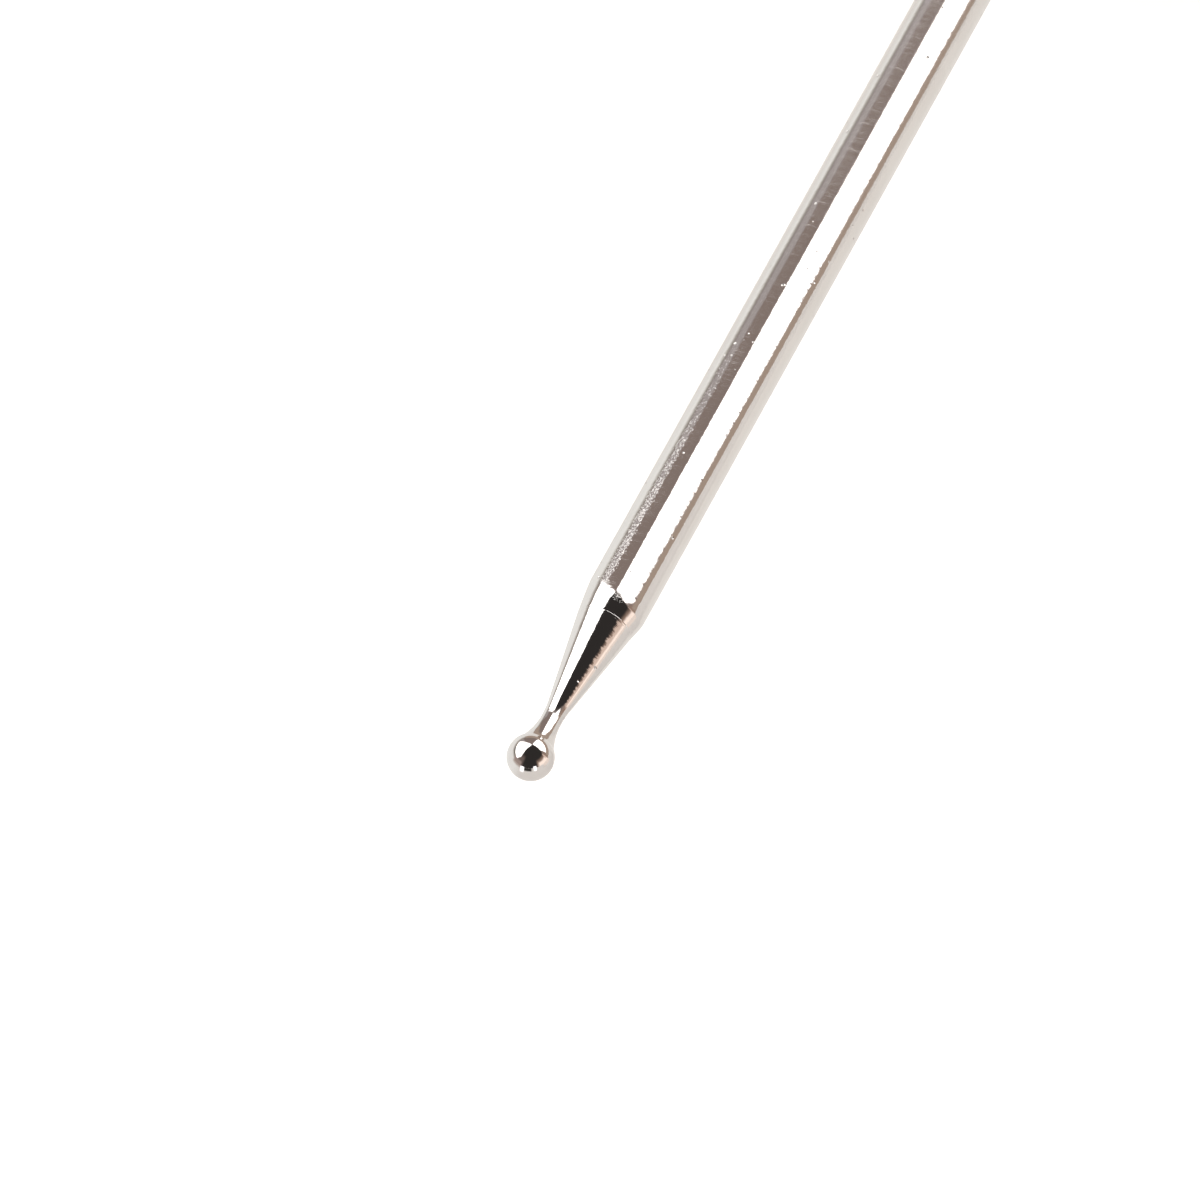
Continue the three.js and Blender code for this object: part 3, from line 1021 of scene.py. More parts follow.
class Finishes:
    """Every finish on the tool, by the record's slot."""

    METALS = {
        Slot.PLATED_NEEDLE: MetalLook(
            "polished_needle_plating", (0.80, 0.765, 0.735, 1.0), (0.62, 0.585, 0.56, 1.0),
            (0.80, 0.77, 0.74, 1.0), roughness=0.05, film_roughness=0.03, film_tint=0.12,
            ring_scale=3400.0, ring_depth=5.2e-6, peel_scale=5500.0, peel_depth=2.5e-6,
            pit_scale=3800.0, pit_share=0.09, pit_depth=18.0e-6, pit_roughness=0.35,
            haze=0.07, haze_start=-66 * MM, haze_end=-40 * MM, scuffs=(
                ScuffLook(radians(66), radians(16), -69.15 * MM, -48 * MM, 23000.0, 0.25),
                ScuffLook(radians(104), radians(16), -69.45 * MM, -68.4 * MM, 24000.0, 0.3))),
        Slot.PLATED_CHUCK: MetalLook(
            "satin_chuck_plating", (0.74, 0.71, 0.68, 1.0), (0.56, 0.53, 0.50, 1.0), (0.72, 0.51, 0.24, 1.0),
            roughness=0.19, film_roughness=0.1, wear_amount=0.88, ring_depth=0.5e-6),
        Slot.SPRING_STEEL: MetalLook(
            "ground_spring_steel", (0.47, 0.465, 0.46, 1.0), (0.3, 0.29, 0.28, 1.0), (0.62, 0.61, 0.6, 1.0),
            roughness=0.26, film_roughness=0.12, ring_scale=9000.0, ring_depth=1.2e-6),
        Slot.BRASS: MetalLook(
            "turned_brass", (0.76, 0.57, 0.26, 1.0), (0.42, 0.27, 0.11, 1.0), (0.9, 0.72, 0.4, 1.0),
            roughness=0.2, film_roughness=0.16, film_tint=0.7, ring_depth=0.8e-6),
    }
    WOOD = WoodLook(
        "oiled_handle_wood", (0.42, 0.21, 0.098, 1.0), (0.17, 0.07, 0.03, 1.0), (0.045, 0.02, 0.01, 1.0),
        (0.27, 0.122, 0.053, 1.0), roughness=0.42)

    def __init__(self) -> None:
        """Builds one material for each slot."""
        self.by_slot = {slot: Metal(look).build() for slot, look in self.METALS.items()}
        self.by_slot[Slot.OILED_WOOD] = OiledWood(self.WOOD).build()


@dataclass
class SubAssembly:
    """A group of pieces that are made and dressed together."""

    axis: ToolAxis
    finishes: Finishes
    pin_hole: float = 0.65 * MM

    def turned(self, name: str, slot: Slot, sides: int, corners: Sequence[Corner], spacing: float,
               closed: bool = True, axis: TurningAxis | None = None) -> Piece:
        """Turns a piece from its outline's corners.

        Args:
            name: The piece's name.
            slot: The slot its finish comes from.
            sides: How many sides it has round the axis.
            corners: The outline's corners in order.
            spacing: The largest distance between rings on a straight stretch.
            closed: True for a ring that doesn't reach the axis.
            axis: What it is turned about, if not the tool's own axis.

        Returns:
            The piece's object.
        """
        outline = Outline(corners, closed, spacing)
        return turned_piece(name, outline, axis or self.axis, sides, self.finishes.by_slot[slot])

    def carve(self, piece: Piece, kind: type[GeometryTree], sizes: Mapping[str, float]) -> None:
        """Runs a Geometry Nodes tree on a piece and keeps the result as its plain mesh.

        Args:
            piece: The piece.
            kind: The tree's class.
            sizes: The tree's own inputs by name.
        """
        tree = built(kind)
        modifier = piece.modifiers.new(tree.name, "NODES")
        modifier.node_group = tree
        inputs = {**sizes, "Axis Height": self.axis.origin.z, "Material": piece.data.materials[0]}
        for item in tree.interface.items_tree:
            if item.in_out == "INPUT" and item.name in inputs:
                modifier[item.identifier] = inputs[item.name]
        depsgraph = bpy.context.evaluated_depsgraph_get()
        result = bpy.data.meshes.new_from_object(
            piece.evaluated_get(depsgraph), preserve_all_data_layers=True, depsgraph=depsgraph)
        piece.modifiers.clear()
        rough = piece.data
        piece.data = result
        result.name = piece.name
        bpy.data.meshes.remove(rough)
        smooth(piece)

    def cut_thread(self, piece: Piece, radius: float, pitch: float, depth: float, crest: float) -> None:
        """Cuts a right-hand thread on what may be carved.

        Args:
            piece: The piece.
            radius: The thread's outer radius.
            pitch: Its pitch.
            depth: Its depth.
            crest: The share of the pitch that stays uncut.
        """
        self.carve(piece, CutFlutes, {"Count": 1.0, "Turns Per Metre": -1 / pitch, "Outer Radius": radius,
                                      "Depth": depth, "Crest Share": crest})

    def drill_pin_hole(self, piece: Piece) -> None:
        """Drills the cross pin's hole through a piece.

        Args:
            piece: The piece.
        """
        low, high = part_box("ferrule_pin")
        self.carve(piece, DrillAcross, {"Hole Radius": self.pin_hole, "Reach": 2 * (high.y - low.y),
                                        "Place": (low.x + high.x) / 2})

    def dress(self, piece: Piece, node: str, body: Body, slot: Slot) -> None:
        """Lets a piece stand for its CAD node and ride on its body.

        Args:
            piece: The finished piece.
            node: The CAD node it stands for.
            body: The body it rides on.
            slot: The material slot its finish comes from; not used.
        """
        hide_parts(node)
        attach(piece, body.value)
        log.info("%s: %d faces, stands for %s on %s", piece.name, len(piece.data.polygons), node, body.value)


@dataclass(frozen=True)
class ToolMark:
    """A fine groove that the lathe tool left round the cone."""

    distance: float
    width: float
    depth: float


@dataclass
class BallNeedle(SubAssembly):
    """The plated needle: ball, thin neck, cone, shoulder and shank, turned from one rod."""

    NECK_STEP, CONE_STEP, SHOULDER_STEP = radians(1.5), radians(0.8), radians(0.9)
    MARK_STEPS = 6

    ball_radius: float = 0.83 * MM
    fillet_radius: float = 0.15 * MM
    neck_radius: float = 0.37 * MM
    neck_distance: float = 1.72 * MM
    neck_ball_side_radius: float = 2.88 * MM
    neck_cone_side_radius: float = 4.1 * MM
    cone_half_angle: float = radians(9.3)
    shoulder_radius: float = 3.2 * MM
    tail_chamfer: float = 0.3 * MM
    tail_wear: float = 0.4
    marks: tuple[ToolMark, ...] = (
        ToolMark(5.91 * MM, 0.022 * MM, 0.0008 * MM), ToolMark(6.0 * MM, 0.022 * MM, 0.002 * MM))
    shoulder_shift: float = 0.025 * MM
    shoulder_lean_y: float = 0.387 * MM
    shoulder_lean_z: float = -0.352 * MM
    lean_hold: float = 0.4 * MM
    lean_fade: float = 4 * MM
    sides: int = 144

    def corners(self) -> list[Corner]:
        """Draws the needle's outline from the ball's centre.

        Returns:
            The outline's corners, moved so that they start at the ball's tip.
        """
        span = self.axis.span("ball_needle")
        shank = span.radius
        neck_centre = (self.neck_radius + self.neck_ball_side_radius, self.neck_distance)
        cone_centre = (self.neck_radius + self.neck_cone_side_radius, self.neck_distance)
        to_ball = self.ball_radius + self.fillet_radius
        to_neck = self.neck_ball_side_radius - self.fillet_radius
        apart = hypot(*neck_centre)
        cosine = (apart ** 2 + to_ball ** 2 - to_neck ** 2) / (2 * apart * to_ball)
        fillet_angle = atan2(neck_centre[1], neck_centre[0]) + acos(cosine)
        fillet_centre = (to_ball * cos(fillet_angle), to_ball * sin(fillet_angle))
        neck_angle = atan2(fillet_centre[1] - neck_centre[1], fillet_centre[0] - neck_centre[0])
        shoulder_centre = (shank - self.shoulder_radius,
                           self.cone_station(shank) + self.shoulder_radius * tan(self.cone_half_angle / 2))
        tail = span.end - self.ball_radius
        neck_start = neck_angle % FULL_TURN
        corners = [
            Corner(0, -self.ball_radius),
            *arc((0, 0), self.ball_radius, -pi / 2, fillet_angle)[1:],
            *arc(fillet_centre, self.fillet_radius, fillet_angle + pi, neck_angle + FULL_TURN)[1:],
            *arc(neck_centre, self.neck_ball_side_radius, neck_start, pi, self.NECK_STEP)[1:],
            *arc(cone_centre, self.neck_cone_side_radius, pi, pi - self.cone_half_angle, self.CONE_STEP)[1:],
            *self.tool_marks(),
            *arc(shoulder_centre, self.shoulder_radius, -self.cone_half_angle, 0, self.SHOULDER_STEP),
            Corner(shank, tail - self.tail_chamfer, wear=self.tail_wear),
            Corner(shank - self.tail_chamfer, tail, wear=self.tail_wear),
            Corner(0, tail),
        ]
        return [Corner(c.radius, c.station + self.ball_radius, c.rounding, c.wear) for c in corners]

    def cone_radius(self, distance: float) -> float:
        """Gives the cone's radius.

        Args:
            distance: Where it is measured, from the ball's centre.

        Returns:
            The radius.
        """
        start = self.neck_distance + self.neck_cone_side_radius * sin(self.cone_half_angle)
        radius = self.neck_radius + self.neck_cone_side_radius * (1 - cos(self.cone_half_angle))
        return radius + (distance - start) * tan(self.cone_half_angle)

    def cone_station(self, radius: float) -> float:
        """Returns how far from the ball's centre the cone has a radius."""
        return (radius - self.cone_radius(0)) / tan(self.cone_half_angle)

    def tool_marks(self) -> list[Corner]:
        """Draws the fine grooves that the lathe tool left near the cone's end.

        Returns:
            The grooves' corners.
        """
        corners = []
        for mark in self.marks:
            for i in range(self.MARK_STEPS + 1):
                distance = mark.distance + (i / self.MARK_STEPS - 0.5) * mark.width
                depth = mark.depth * (0.5 - 0.5 * cos(FULL_TURN * i / self.MARK_STEPS))
                corners.append(Corner(self.cone_radius(distance) - depth, distance))
        return corners

    def lean_shoulder(self, piece: Piece) -> None:
        """Moves the shoulder along the axis by an amount that changes round it, as hand finishing leaves it.

        Args:
            piece: The turned needle.
        """
        last_mark = self.marks[-1].distance + self.marks[-1].width
        corner = self.cone_station(self.axis.span("ball_needle").radius)
        held = corner + self.lean_hold
        lean = Vector((0, self.shoulder_lean_y, self.shoulder_lean_z))
        for vertex in piece.data.vertices:
            offset = vertex.co - self.axis.origin
            distance = offset.x - self.ball_radius
            if not last_mark < distance < held + self.lean_fade:
                continue
            rise = (distance - last_mark) / (corner - last_mark)
            share = min(rise, 1.0, 1 - (distance - held) / self.lean_fade)
            spoke = Vector((0, offset.y, offset.z)).normalized()
            vertex.co.x += share * (self.shoulder_shift + spoke.dot(lean))

    def build(self) -> None:
        """Makes and dresses the needle."""
        slot = Slot.PLATED_NEEDLE
        needle = self.turned("plated_ball_needle", slot, self.sides, self.corners(),
                             spacing=1.5 * MM, closed=False)
        self.lean_shoulder(needle)
        self.dress(needle, "ball_needle", Body.NEEDLE, slot)


@dataclass
class Chuck(SubAssembly):
    """The collet, its knurled nut and the threaded body that they close on."""

    bore: float = 1.245 * MM
    collet_nose: float = 1.845 * MM
    collet_head: float = 2.695 * MM
    collet_body: float = 2.195 * MM
    collet_nose_length: float = 1.7 * MM
    collet_taper: float = radians(20)
    collet_head_length: float = 1.5 * MM
    collet_mouth: float = 0.25 * MM
    slot_cuts: int = 2
    slot_width: float = 0.45 * MM
    slot_length: float = 11 * MM
    saw_overlap: float = 0.4 * MM
    nut_lip: float = 0.5 * MM
    nut_nose: float = 2.705 * MM
    nut_hole: float = 2.005 * MM
    nut_bore: float = 3.095 * MM
    nut_nose_chamfer: float = 0.3 * MM
    nut_cone_length: float = 4.6 * MM
    nut_groove_width: float = 0.8 * MM
    nut_groove_depth: float = 0.35 * MM
    nut_edge: float = 0.25 * MM
    knurl_length: float = 6 * MM
    knurl_depth: float = 0.25 * MM
    knurl_crest: float = 0.35
    flutes: int = 36
    points_per_flute: int = 10
    spigot: float = 2.995 * MM
    socket: float = 2.295 * MM
    needle_bore: float = 1.345 * MM
    socket_end: float = 61.2 * MM
    needle_bore_end: float = 65 * MM
    thread_pitch: float = 0.5 * MM
    thread_depth: float = 0.22 * MM
    thread_crest: float = 0.15
    rings_per_thread: int = 8
    relief_width: float = 0.8 * MM
    relief_depth: float = 0.03 * MM
    seat_gap: float = 0.2 * MM
    collar_length: float = 2 * MM
    collar_edge: float = 0.3 * MM
    tang: float = 2.2 * MM
    tang_chamfer: float = 0.4 * MM
    sides: int = 120

    def collet(self) -> None:
        """Makes and dresses the collet, with four jaws."""
        start, end = self.axis.span("collet").start, self.axis.span("collet").end
        taper_start = start + self.collet_nose_length
        taper_end = taper_start + (self.collet_head - self.collet_nose) / tan(self.collet_taper)
        head_end = taper_end + self.collet_head_length
        slot = Slot.SPRING_STEEL
        piece = self.turned("slotted_collet", slot, self.sides, [
            Corner(self.bore, start + self.collet_mouth),
            Corner(self.bore + self.collet_mouth, start, Edge.KEEN, wear=0.6),
            Corner(self.collet_nose, start, Edge.BROKEN, wear=0.8),
            Corner(self.collet_nose, taper_start),
            Corner(self.collet_head, taper_end, Edge.ROUND, wear=0.9),
            Corner(self.collet_head, head_end, Edge.BROKEN, wear=0.8),
            Corner(self.collet_body, head_end, Edge.EASED),
            Corner(self.collet_body, end, Edge.EASED, wear=0.5),
            Corner(self.bore, end, Edge.CRISP),
        ], spacing=0.8 * MM)
        self.carve(piece, SawSlots, {
            "Cuts": float(self.slot_cuts),
            "Width": self.slot_width,
            "Length": self.slot_length + self.saw_overlap,
            "Span": 2 * self.collet_head + self.saw_overlap,
            "Start": self.axis.origin.x + start - self.saw_overlap,
        })
        self.dress(piece, "collet", Body.COLLET, slot)

    def nut(self) -> None:
        """Makes and dresses the knurled nut."""
        span = self.axis.span("chuck_nut")
        outer = span.radius
        groove = outer - self.nut_groove_depth
        cone_end = span.start + self.nut_cone_length
        band_start = cone_end + self.nut_groove_width
        band_end = band_start + self.knurl_length
        rear_start = band_end + self.nut_groove_width
        taper_start = span.start + self.nut_lip
        taper_end = taper_start + (self.nut_bore - self.nut_hole) / tan(self.collet_taper)
        edge, soft = self.nut_edge, Edge.SOFT
        slot = Slot.PLATED_CHUCK
        piece = self.turned("knurled_nut", slot, self.flutes * self.points_per_flute, [
            Corner(self.nut_hole, taper_start),
            Corner(self.nut_hole, span.start, Edge.FINE, wear=0.7),
            Corner(self.nut_nose - self.nut_nose_chamfer, span.start, soft, wear=1.0),
            Corner(self.nut_nose, span.start + self.nut_nose_chamfer, soft, wear=1.0),
            Corner(outer, cone_end - edge, soft, wear=0.9),
            Corner(outer - edge, cone_end, soft, wear=0.8),
            Corner(groove, cone_end, soft),
            Corner(groove, band_start, soft),
            Corner(outer - edge, band_start, carve=1.0),
            Corner(outer, band_start + edge, carve=1.0),
            Corner(outer, band_end - edge, carve=1.0),
            Corner(outer - edge, band_end, carve=1.0),
            Corner(groove, band_end, soft),
            Corner(groove, rear_start, soft),
            Corner(outer - edge, rear_start, soft, wear=0.8),
            Corner(outer, rear_start + edge, soft, wear=0.9),
            Corner(outer, span.end - edge, soft, wear=1.0),
            Corner(outer - edge, span.end, soft, wear=0.9),
            Corner(self.nut_bore, span.end, soft),
            Corner(self.nut_bore, taper_end),
        ], spacing=0.35 * MM)
        self.carve(piece, CutFlutes, {
            "Count": float(self.flutes), "Turns Per Metre": 0.0, "Outer Radius": outer,
            "Depth": self.knurl_depth, "Crest Share": self.knurl_crest,
        })
        self.dress(piece, "chuck_nut", Body.NUT, slot)

    def body(self) -> None:
        """Makes and dresses the chuck's body, with its thread, collar and tang."""
        span = self.axis.span("chuck_body")
        outer = span.radius
        collar_start = self.axis.span("chuck_nut").end + self.seat_gap
        collar_end = collar_start + self.collar_length
        relief_start = collar_start - self.relief_width
        relief = self.spigot - self.thread_depth - self.relief_depth
        edge = self.collar_edge
        slot = Slot.PLATED_CHUCK
        piece = self.turned("threaded_chuck_body", slot, self.sides, [
            Corner(0, self.needle_bore_end),
            Corner(self.needle_bore, self.needle_bore_end),
            Corner(self.needle_bore, self.socket_end),
            Corner(self.socket, self.socket_end),
            Corner(self.socket, span.start, Edge.CRISP),
            Corner(self.spigot - self.thread_depth, span.start, Edge.CRISP, wear=0.5),
            Corner(self.spigot, span.start + self.thread_depth, carve=1.0),
            Corner(self.spigot, relief_start - self.thread_depth, carve=1.0),
            Corner(relief, relief_start, Edge.SOFT),
            Corner(relief, collar_start, Edge.EASED),
            Corner(outer - edge, collar_start, Edge.SOFT, wear=0.9),
            Corner(outer, collar_start + edge, Edge.SOFT, wear=1.0),
            Corner(outer, collar_end - edge, Edge.SOFT, wear=1.0),
            Corner(outer - edge, collar_end, Edge.SOFT, wear=0.8),
            Corner(self.tang, collar_end, Edge.EASED),
            Corner(self.tang, span.end - self.tang_chamfer),
            Corner(self.tang - self.tang_chamfer, span.end),
            Corner(0, span.end),
        ], spacing=self.thread_pitch / self.rings_per_thread, closed=False)
        self.cut_thread(piece, self.spigot, self.thread_pitch, self.thread_depth, self.thread_crest)
        self.drill_pin_hole(piece)
        self.dress(piece, "chuck_body", Body.HANDLE, slot)

    def build(self) -> None:
        """Makes and dresses the three pieces of the chuck."""
        self.collet()
        self.nut()
        self.body()


@dataclass
class Handle(SubAssembly):
    """The wooden handle with its ferrule and the brass pin that locks the tang."""

    BEAD_STEPS = 14
    END_STEPS = 24

    ferrule_wall: float = 0.45 * MM
    ferrule_edge: float = 0.8 * MM
    ferrule_sides: int = 128
    bead_width: float = 1 * MM
    bead_height: float = 0.3 * MM
    bead_wear: float = 0.9
    tenon_tip: float = 4.3 * MM
    tenon_root: float = 4.7 * MM
    wood_clearance: float = 0.1 * MM
    seat_gap: float = 0.2 * MM
    tang: float = 2.2 * MM
    tang_end: float = 83.2 * MM
    flat_count: int = 8
    flat_corner: float = 0.12 * MM
    flat_blend: float = 0.2 * MM
    shoulder_bevel: float = 0.2 * MM
    front_radius: float = 5.5 * MM
    front_turning: float = 8 * MM
    rear_radius: float = 5.4 * MM
    rear_turning: float = 11 * MM
    rear_tenon: float = 4.3 * MM
    rear_tenon_length: float = 6 * MM
    pilot: float = 1.2 * MM
    pilot_end: float = 141.05 * MM
    pin_dome: float = 0.12 * MM
    pin_crown: float = 0.55
    pin_crown_drop: float = 0.3
    pin_sides: int = 40
    sides: int = 192

    def tenon_at(self, station: float) -> float:
        """Gives the front tenon's radius, which widens towards its root.

        Args:
            station: Where it is measured.

        Returns:
            The radius.
        """
        wood = self.axis.span("handle")
        shoulder = self.axis.span("ferrule").end + self.seat_gap
        share = (station - wood.start) / (shoulder - wood.start)
        return self.tenon_tip + (self.tenon_root - self.tenon_tip) * share

    def ferrule_at(self, station: float) -> float:
        """Returns the ferrule's outer radius at a station."""
        return self.tenon_at(station) + self.wood_clearance + self.ferrule_wall

    def bead(self, end: float) -> list[Corner]:
        """Draws the half-round bead at the ferrule's rear edge.

        Args:
            end: The ferrule's last station.

        Returns:
            The bead's corners.
        """
        corners = []
        for i in range(self.BEAD_STEPS + 1):
            angle = pi * (i / self.BEAD_STEPS - 0.5)
            station = end - self.bead_width / 2 + self.bead_width / 2 * sin(angle)
            radius = self.ferrule_at(station) + self.bead_height * cos(angle)
            corners.append(Corner(radius, station, wear=self.bead_wear * max(0.0, cos(angle)) ** 2))
        return corners

    def ferrule(self) -> None:
        """Makes and dresses the ferrule, with its rolled front edge and its bead."""
        span = self.axis.span("ferrule")
        inner_front = span.start + self.ferrule_wall
        hole = self.tang + self.wood_clearance
        slot = Slot.PLATED_CHUCK
        piece = self.turned("beaded_ferrule", slot, self.ferrule_sides, [
            Corner(hole, inner_front),
            Corner(hole, span.start, Edge.CRISP, wear=0.5),
            Corner(self.ferrule_at(span.start + self.ferrule_edge), span.start, self.ferrule_edge, wear=0.55),
            *self.bead(span.end),
            Corner(self.tenon_at(span.end) + self.wood_clearance, span.end),
            Corner(self.tenon_at(inner_front) + self.wood_clearance, inner_front),
        ], spacing=0.6 * MM)
        self.drill_pin_hole(piece)
        self.dress(piece, "ferrule", Body.HANDLE, slot)

    def pin(self) -> None:
        """Makes and dresses the brass cross pin, with slightly domed ends."""
        low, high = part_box("ferrule_pin")
        length, radius = high.y - low.y, (high.z - low.z) / 2
        origin = Vector(((low.x + high.x) / 2, low.y, self.axis.origin.z))
        axis = TurningAxis(origin, Vector((0, 1, 0)), Vector((0, 0, 1)))
        crown, drop = radius * self.pin_crown, self.pin_dome * self.pin_crown_drop
        slot = Slot.BRASS
        piece = self.turned("brass_cross_pin", slot, self.pin_sides, [
            Corner(0, 0),
            Corner(crown, drop, Edge.DOMED),
            Corner(radius, self.pin_dome, Edge.FINE, wear=1.0),
            Corner(radius, length - self.pin_dome, Edge.FINE, wear=1.0),
            Corner(crown, length - drop, Edge.DOMED),
            Corner(0, length),
        ], spacing=0.6 * MM, closed=False, axis=axis)
        self.dress(piece, "ferrule_pin", Body.HANDLE, slot)

    def turned_end(self, radius: float, station: float, length: float, outer: float) -> list[Corner]:
        """Draws a turned end of the handle, which rises along a quarter of a sine wave.

        Args:
            radius: Its radius at the handle's end.
            station: The handle's end.
            length: How far it runs, negative towards the ball.
            outer: Its radius where it meets the flats' corners.

        Returns:
            The corners, from the handle's end on.
        """
        steps = self.END_STEPS
        return [Corner(radius + (outer - radius) * sin(pi / 2 * i / steps),
                       station + length * i / steps, carve=1.0) for i in range(steps + 1)]

    def wood(self) -> None:
        """Makes and dresses the eight-sided handle with its tenons and bores."""
        span = self.axis.span("handle")
        front = self.axis.span("ferrule").end + self.seat_gap
        rear = span.end - self.rear_tenon_length
        outer = span.radius / cos(pi / self.flat_count) + self.wood_clearance
        bore = self.tang + self.wood_clearance
        bore_end = self.tang_end + self.seat_gap
        bevel = self.shoulder_bevel
        slot = Slot.OILED_WOOD
        piece = self.turned("eight_sided_handle", slot, self.sides, [
            Corner(0, bore_end),
            Corner(bore, bore_end),
            Corner(bore, span.start),
            Corner(self.tenon_tip, span.start, Edge.EASED),
            Corner(self.tenon_root, front),
            Corner(self.front_radius - bevel, front, carve=1.0),
            *self.turned_end(self.front_radius, front + bevel, self.front_turning - bevel, outer),
            *reversed(self.turned_end(self.rear_radius, rear - bevel, bevel - self.rear_turning, outer)),
            Corner(self.rear_radius - bevel, rear, carve=1.0),
            Corner(self.rear_tenon, rear),
            Corner(self.rear_tenon, span.end, Edge.EASED),
            Corner(self.pilot, span.end),
            Corner(self.pilot, self.pilot_end),
            Corner(0, self.pilot_end),
        ], spacing=0.5 * MM, closed=False)
        self.carve(piece, FlattenSides, {
            "Sides": float(self.flat_count), "Apothem": span.radius,
            "Corner Rounding": self.flat_corner, "Blend": self.flat_blend,
        })
        self.drill_pin_hole(piece)
        self.dress(piece, "handle", Body.HANDLE, slot)

    def build(self) -> None:
        """Makes and dresses the three pieces of the handle."""
        self.wood()
        self.ferrule()
        self.pin()


@dataclass
class Tail(SubAssembly):
    """The tail cap and the brass screw that holds it on the rear tenon."""

    cap_bore: float = 4.4 * MM
    cap_end_wall: float = 1.6 * MM
    cap_edge: float = 1 * MM
    cap_sides: int = 128
    screw_shank: float = 1.1 * MM
    screw_head: float = 2.1 * MM
    screw_sink: float = 0.15 * MM
    screw_point: float = 2 * MM
    screw_sides: int = 80
    clearance: float = 0.1 * MM
    thread_pitch: float = 0.9 * MM
    thread_depth: float = 0.28 * MM
    thread_crest: float = 0.2
    rings_per_thread: int = 10
    plain_shank: float = 3 * MM
    driver_width: float = 0.5 * MM
    driver_depth: float = 0.45 * MM

    def cap(self) -> None:
        """Makes and dresses the cap, with its countersink."""
        span = self.axis.span("tail_cap")
        inner_end = span.end - self.cap_end_wall
        head_face = span.end - self.screw_sink
        root = self.screw_shank + self.clearance
        face = self.screw_head + self.clearance
        slot = Slot.PLATED_CHUCK
        piece = self.turned("round_tail_cap", slot, self.cap_sides, [
            Corner(self.cap_bore, span.start, Edge.CRISP),
            Corner(span.radius, span.start, Edge.ROUND, wear=1.0),
            Corner(span.radius, span.end, self.cap_edge, wear=0.62),
            Corner(face, span.end, Edge.CRISP, wear=0.8),
            Corner(face, head_face),
            Corner(root, head_face - (face - root)),
            Corner(root, inner_end),
            Corner(self.cap_bore, inner_end),
        ], spacing=0.6 * MM)
        self.dress(piece, "tail_cap", Body.HANDLE, slot)

    def screw(self) -> None:
        """Makes and dresses the slotted wood screw."""
        span = self.axis.span("tail_screw")
        cone_start = span.end - (self.screw_head - self.screw_shank)
        thread_end = cone_start - self.plain_shank
        slot = Slot.BRASS
        piece = self.turned("slotted_tail_screw", slot, self.screw_sides, [
            Corner(0, span.start),
            Corner(self.screw_shank, span.start + self.screw_point, carve=1.0),
            Corner(self.screw_shank, thread_end, carve=1.0),
            Corner(self.screw_shank, thread_end + self.thread_pitch / 2),
            Corner(self.screw_shank, cone_start),
            Corner(self.screw_head, span.end, Edge.FINE, wear=0.9),
            Corner(0, span.end),
        ], spacing=self.thread_pitch / self.rings_per_thread, closed=False)
        self.cut_thread(piece, self.screw_shank, self.thread_pitch, self.thread_depth, self.thread_crest)
        self.carve(piece, SawSlots, {
            "Cuts": 1.0,
            "Width": self.driver_width,
            "Length": 2 * self.driver_depth,
            "Span": 4 * self.screw_head,
            "Start": self.axis.origin.x + span.end - self.driver_depth,
        })
        self.dress(piece, "tail_screw", Body.HANDLE, slot)

    def build(self) -> None:
        """Makes and dresses the cap and its screw."""
        self.cap()
        self.screw()


@dataclass(frozen=True)
class Side:
    """One side of a zone of the studio: directions past a plane through the object."""

    normal: tuple[float, float, float]
    offset: float = 0.0
    softness: float = 0.03


def after(azimuth: float, softness: float = 0.03) -> Side:
    """Returns the side anticlockwise of an azimuth in degrees, where 0 is +X and 90 is +Y."""
    a = radians(azimuth)
    return Side((-sin(a), cos(a), 0.0), 0.0, softness)


def before(azimuth: float, softness: float = 0.03) -> Side:
    """Returns the side clockwise of an azimuth in degrees."""
    a = radians(azimuth)
    return Side((sin(a), -cos(a), 0.0), 0.0, softness)


def above(elevation: float, softness: float = 0.03) -> Side:
    """Returns the side above an elevation in degrees."""
    return Side((0.0, 0.0, 1.0), sin(radians(elevation)), softness)


def below(elevation: float, softness: float = 0.03) -> Side:
    """Returns the side below an elevation in degrees."""
    return Side((0.0, 0.0, -1.0), -sin(radians(elevation)), softness)


@dataclass(frozen=True)
class Zone:
    """A part of the studio with one brightness: in the world it is seen in the metal and lights the object;
    on the floor it is a painted reflection that only the metal shows.
    """

    name: str
    radiance: tuple[float, float, float]
    sides: tuple[Side, ...]


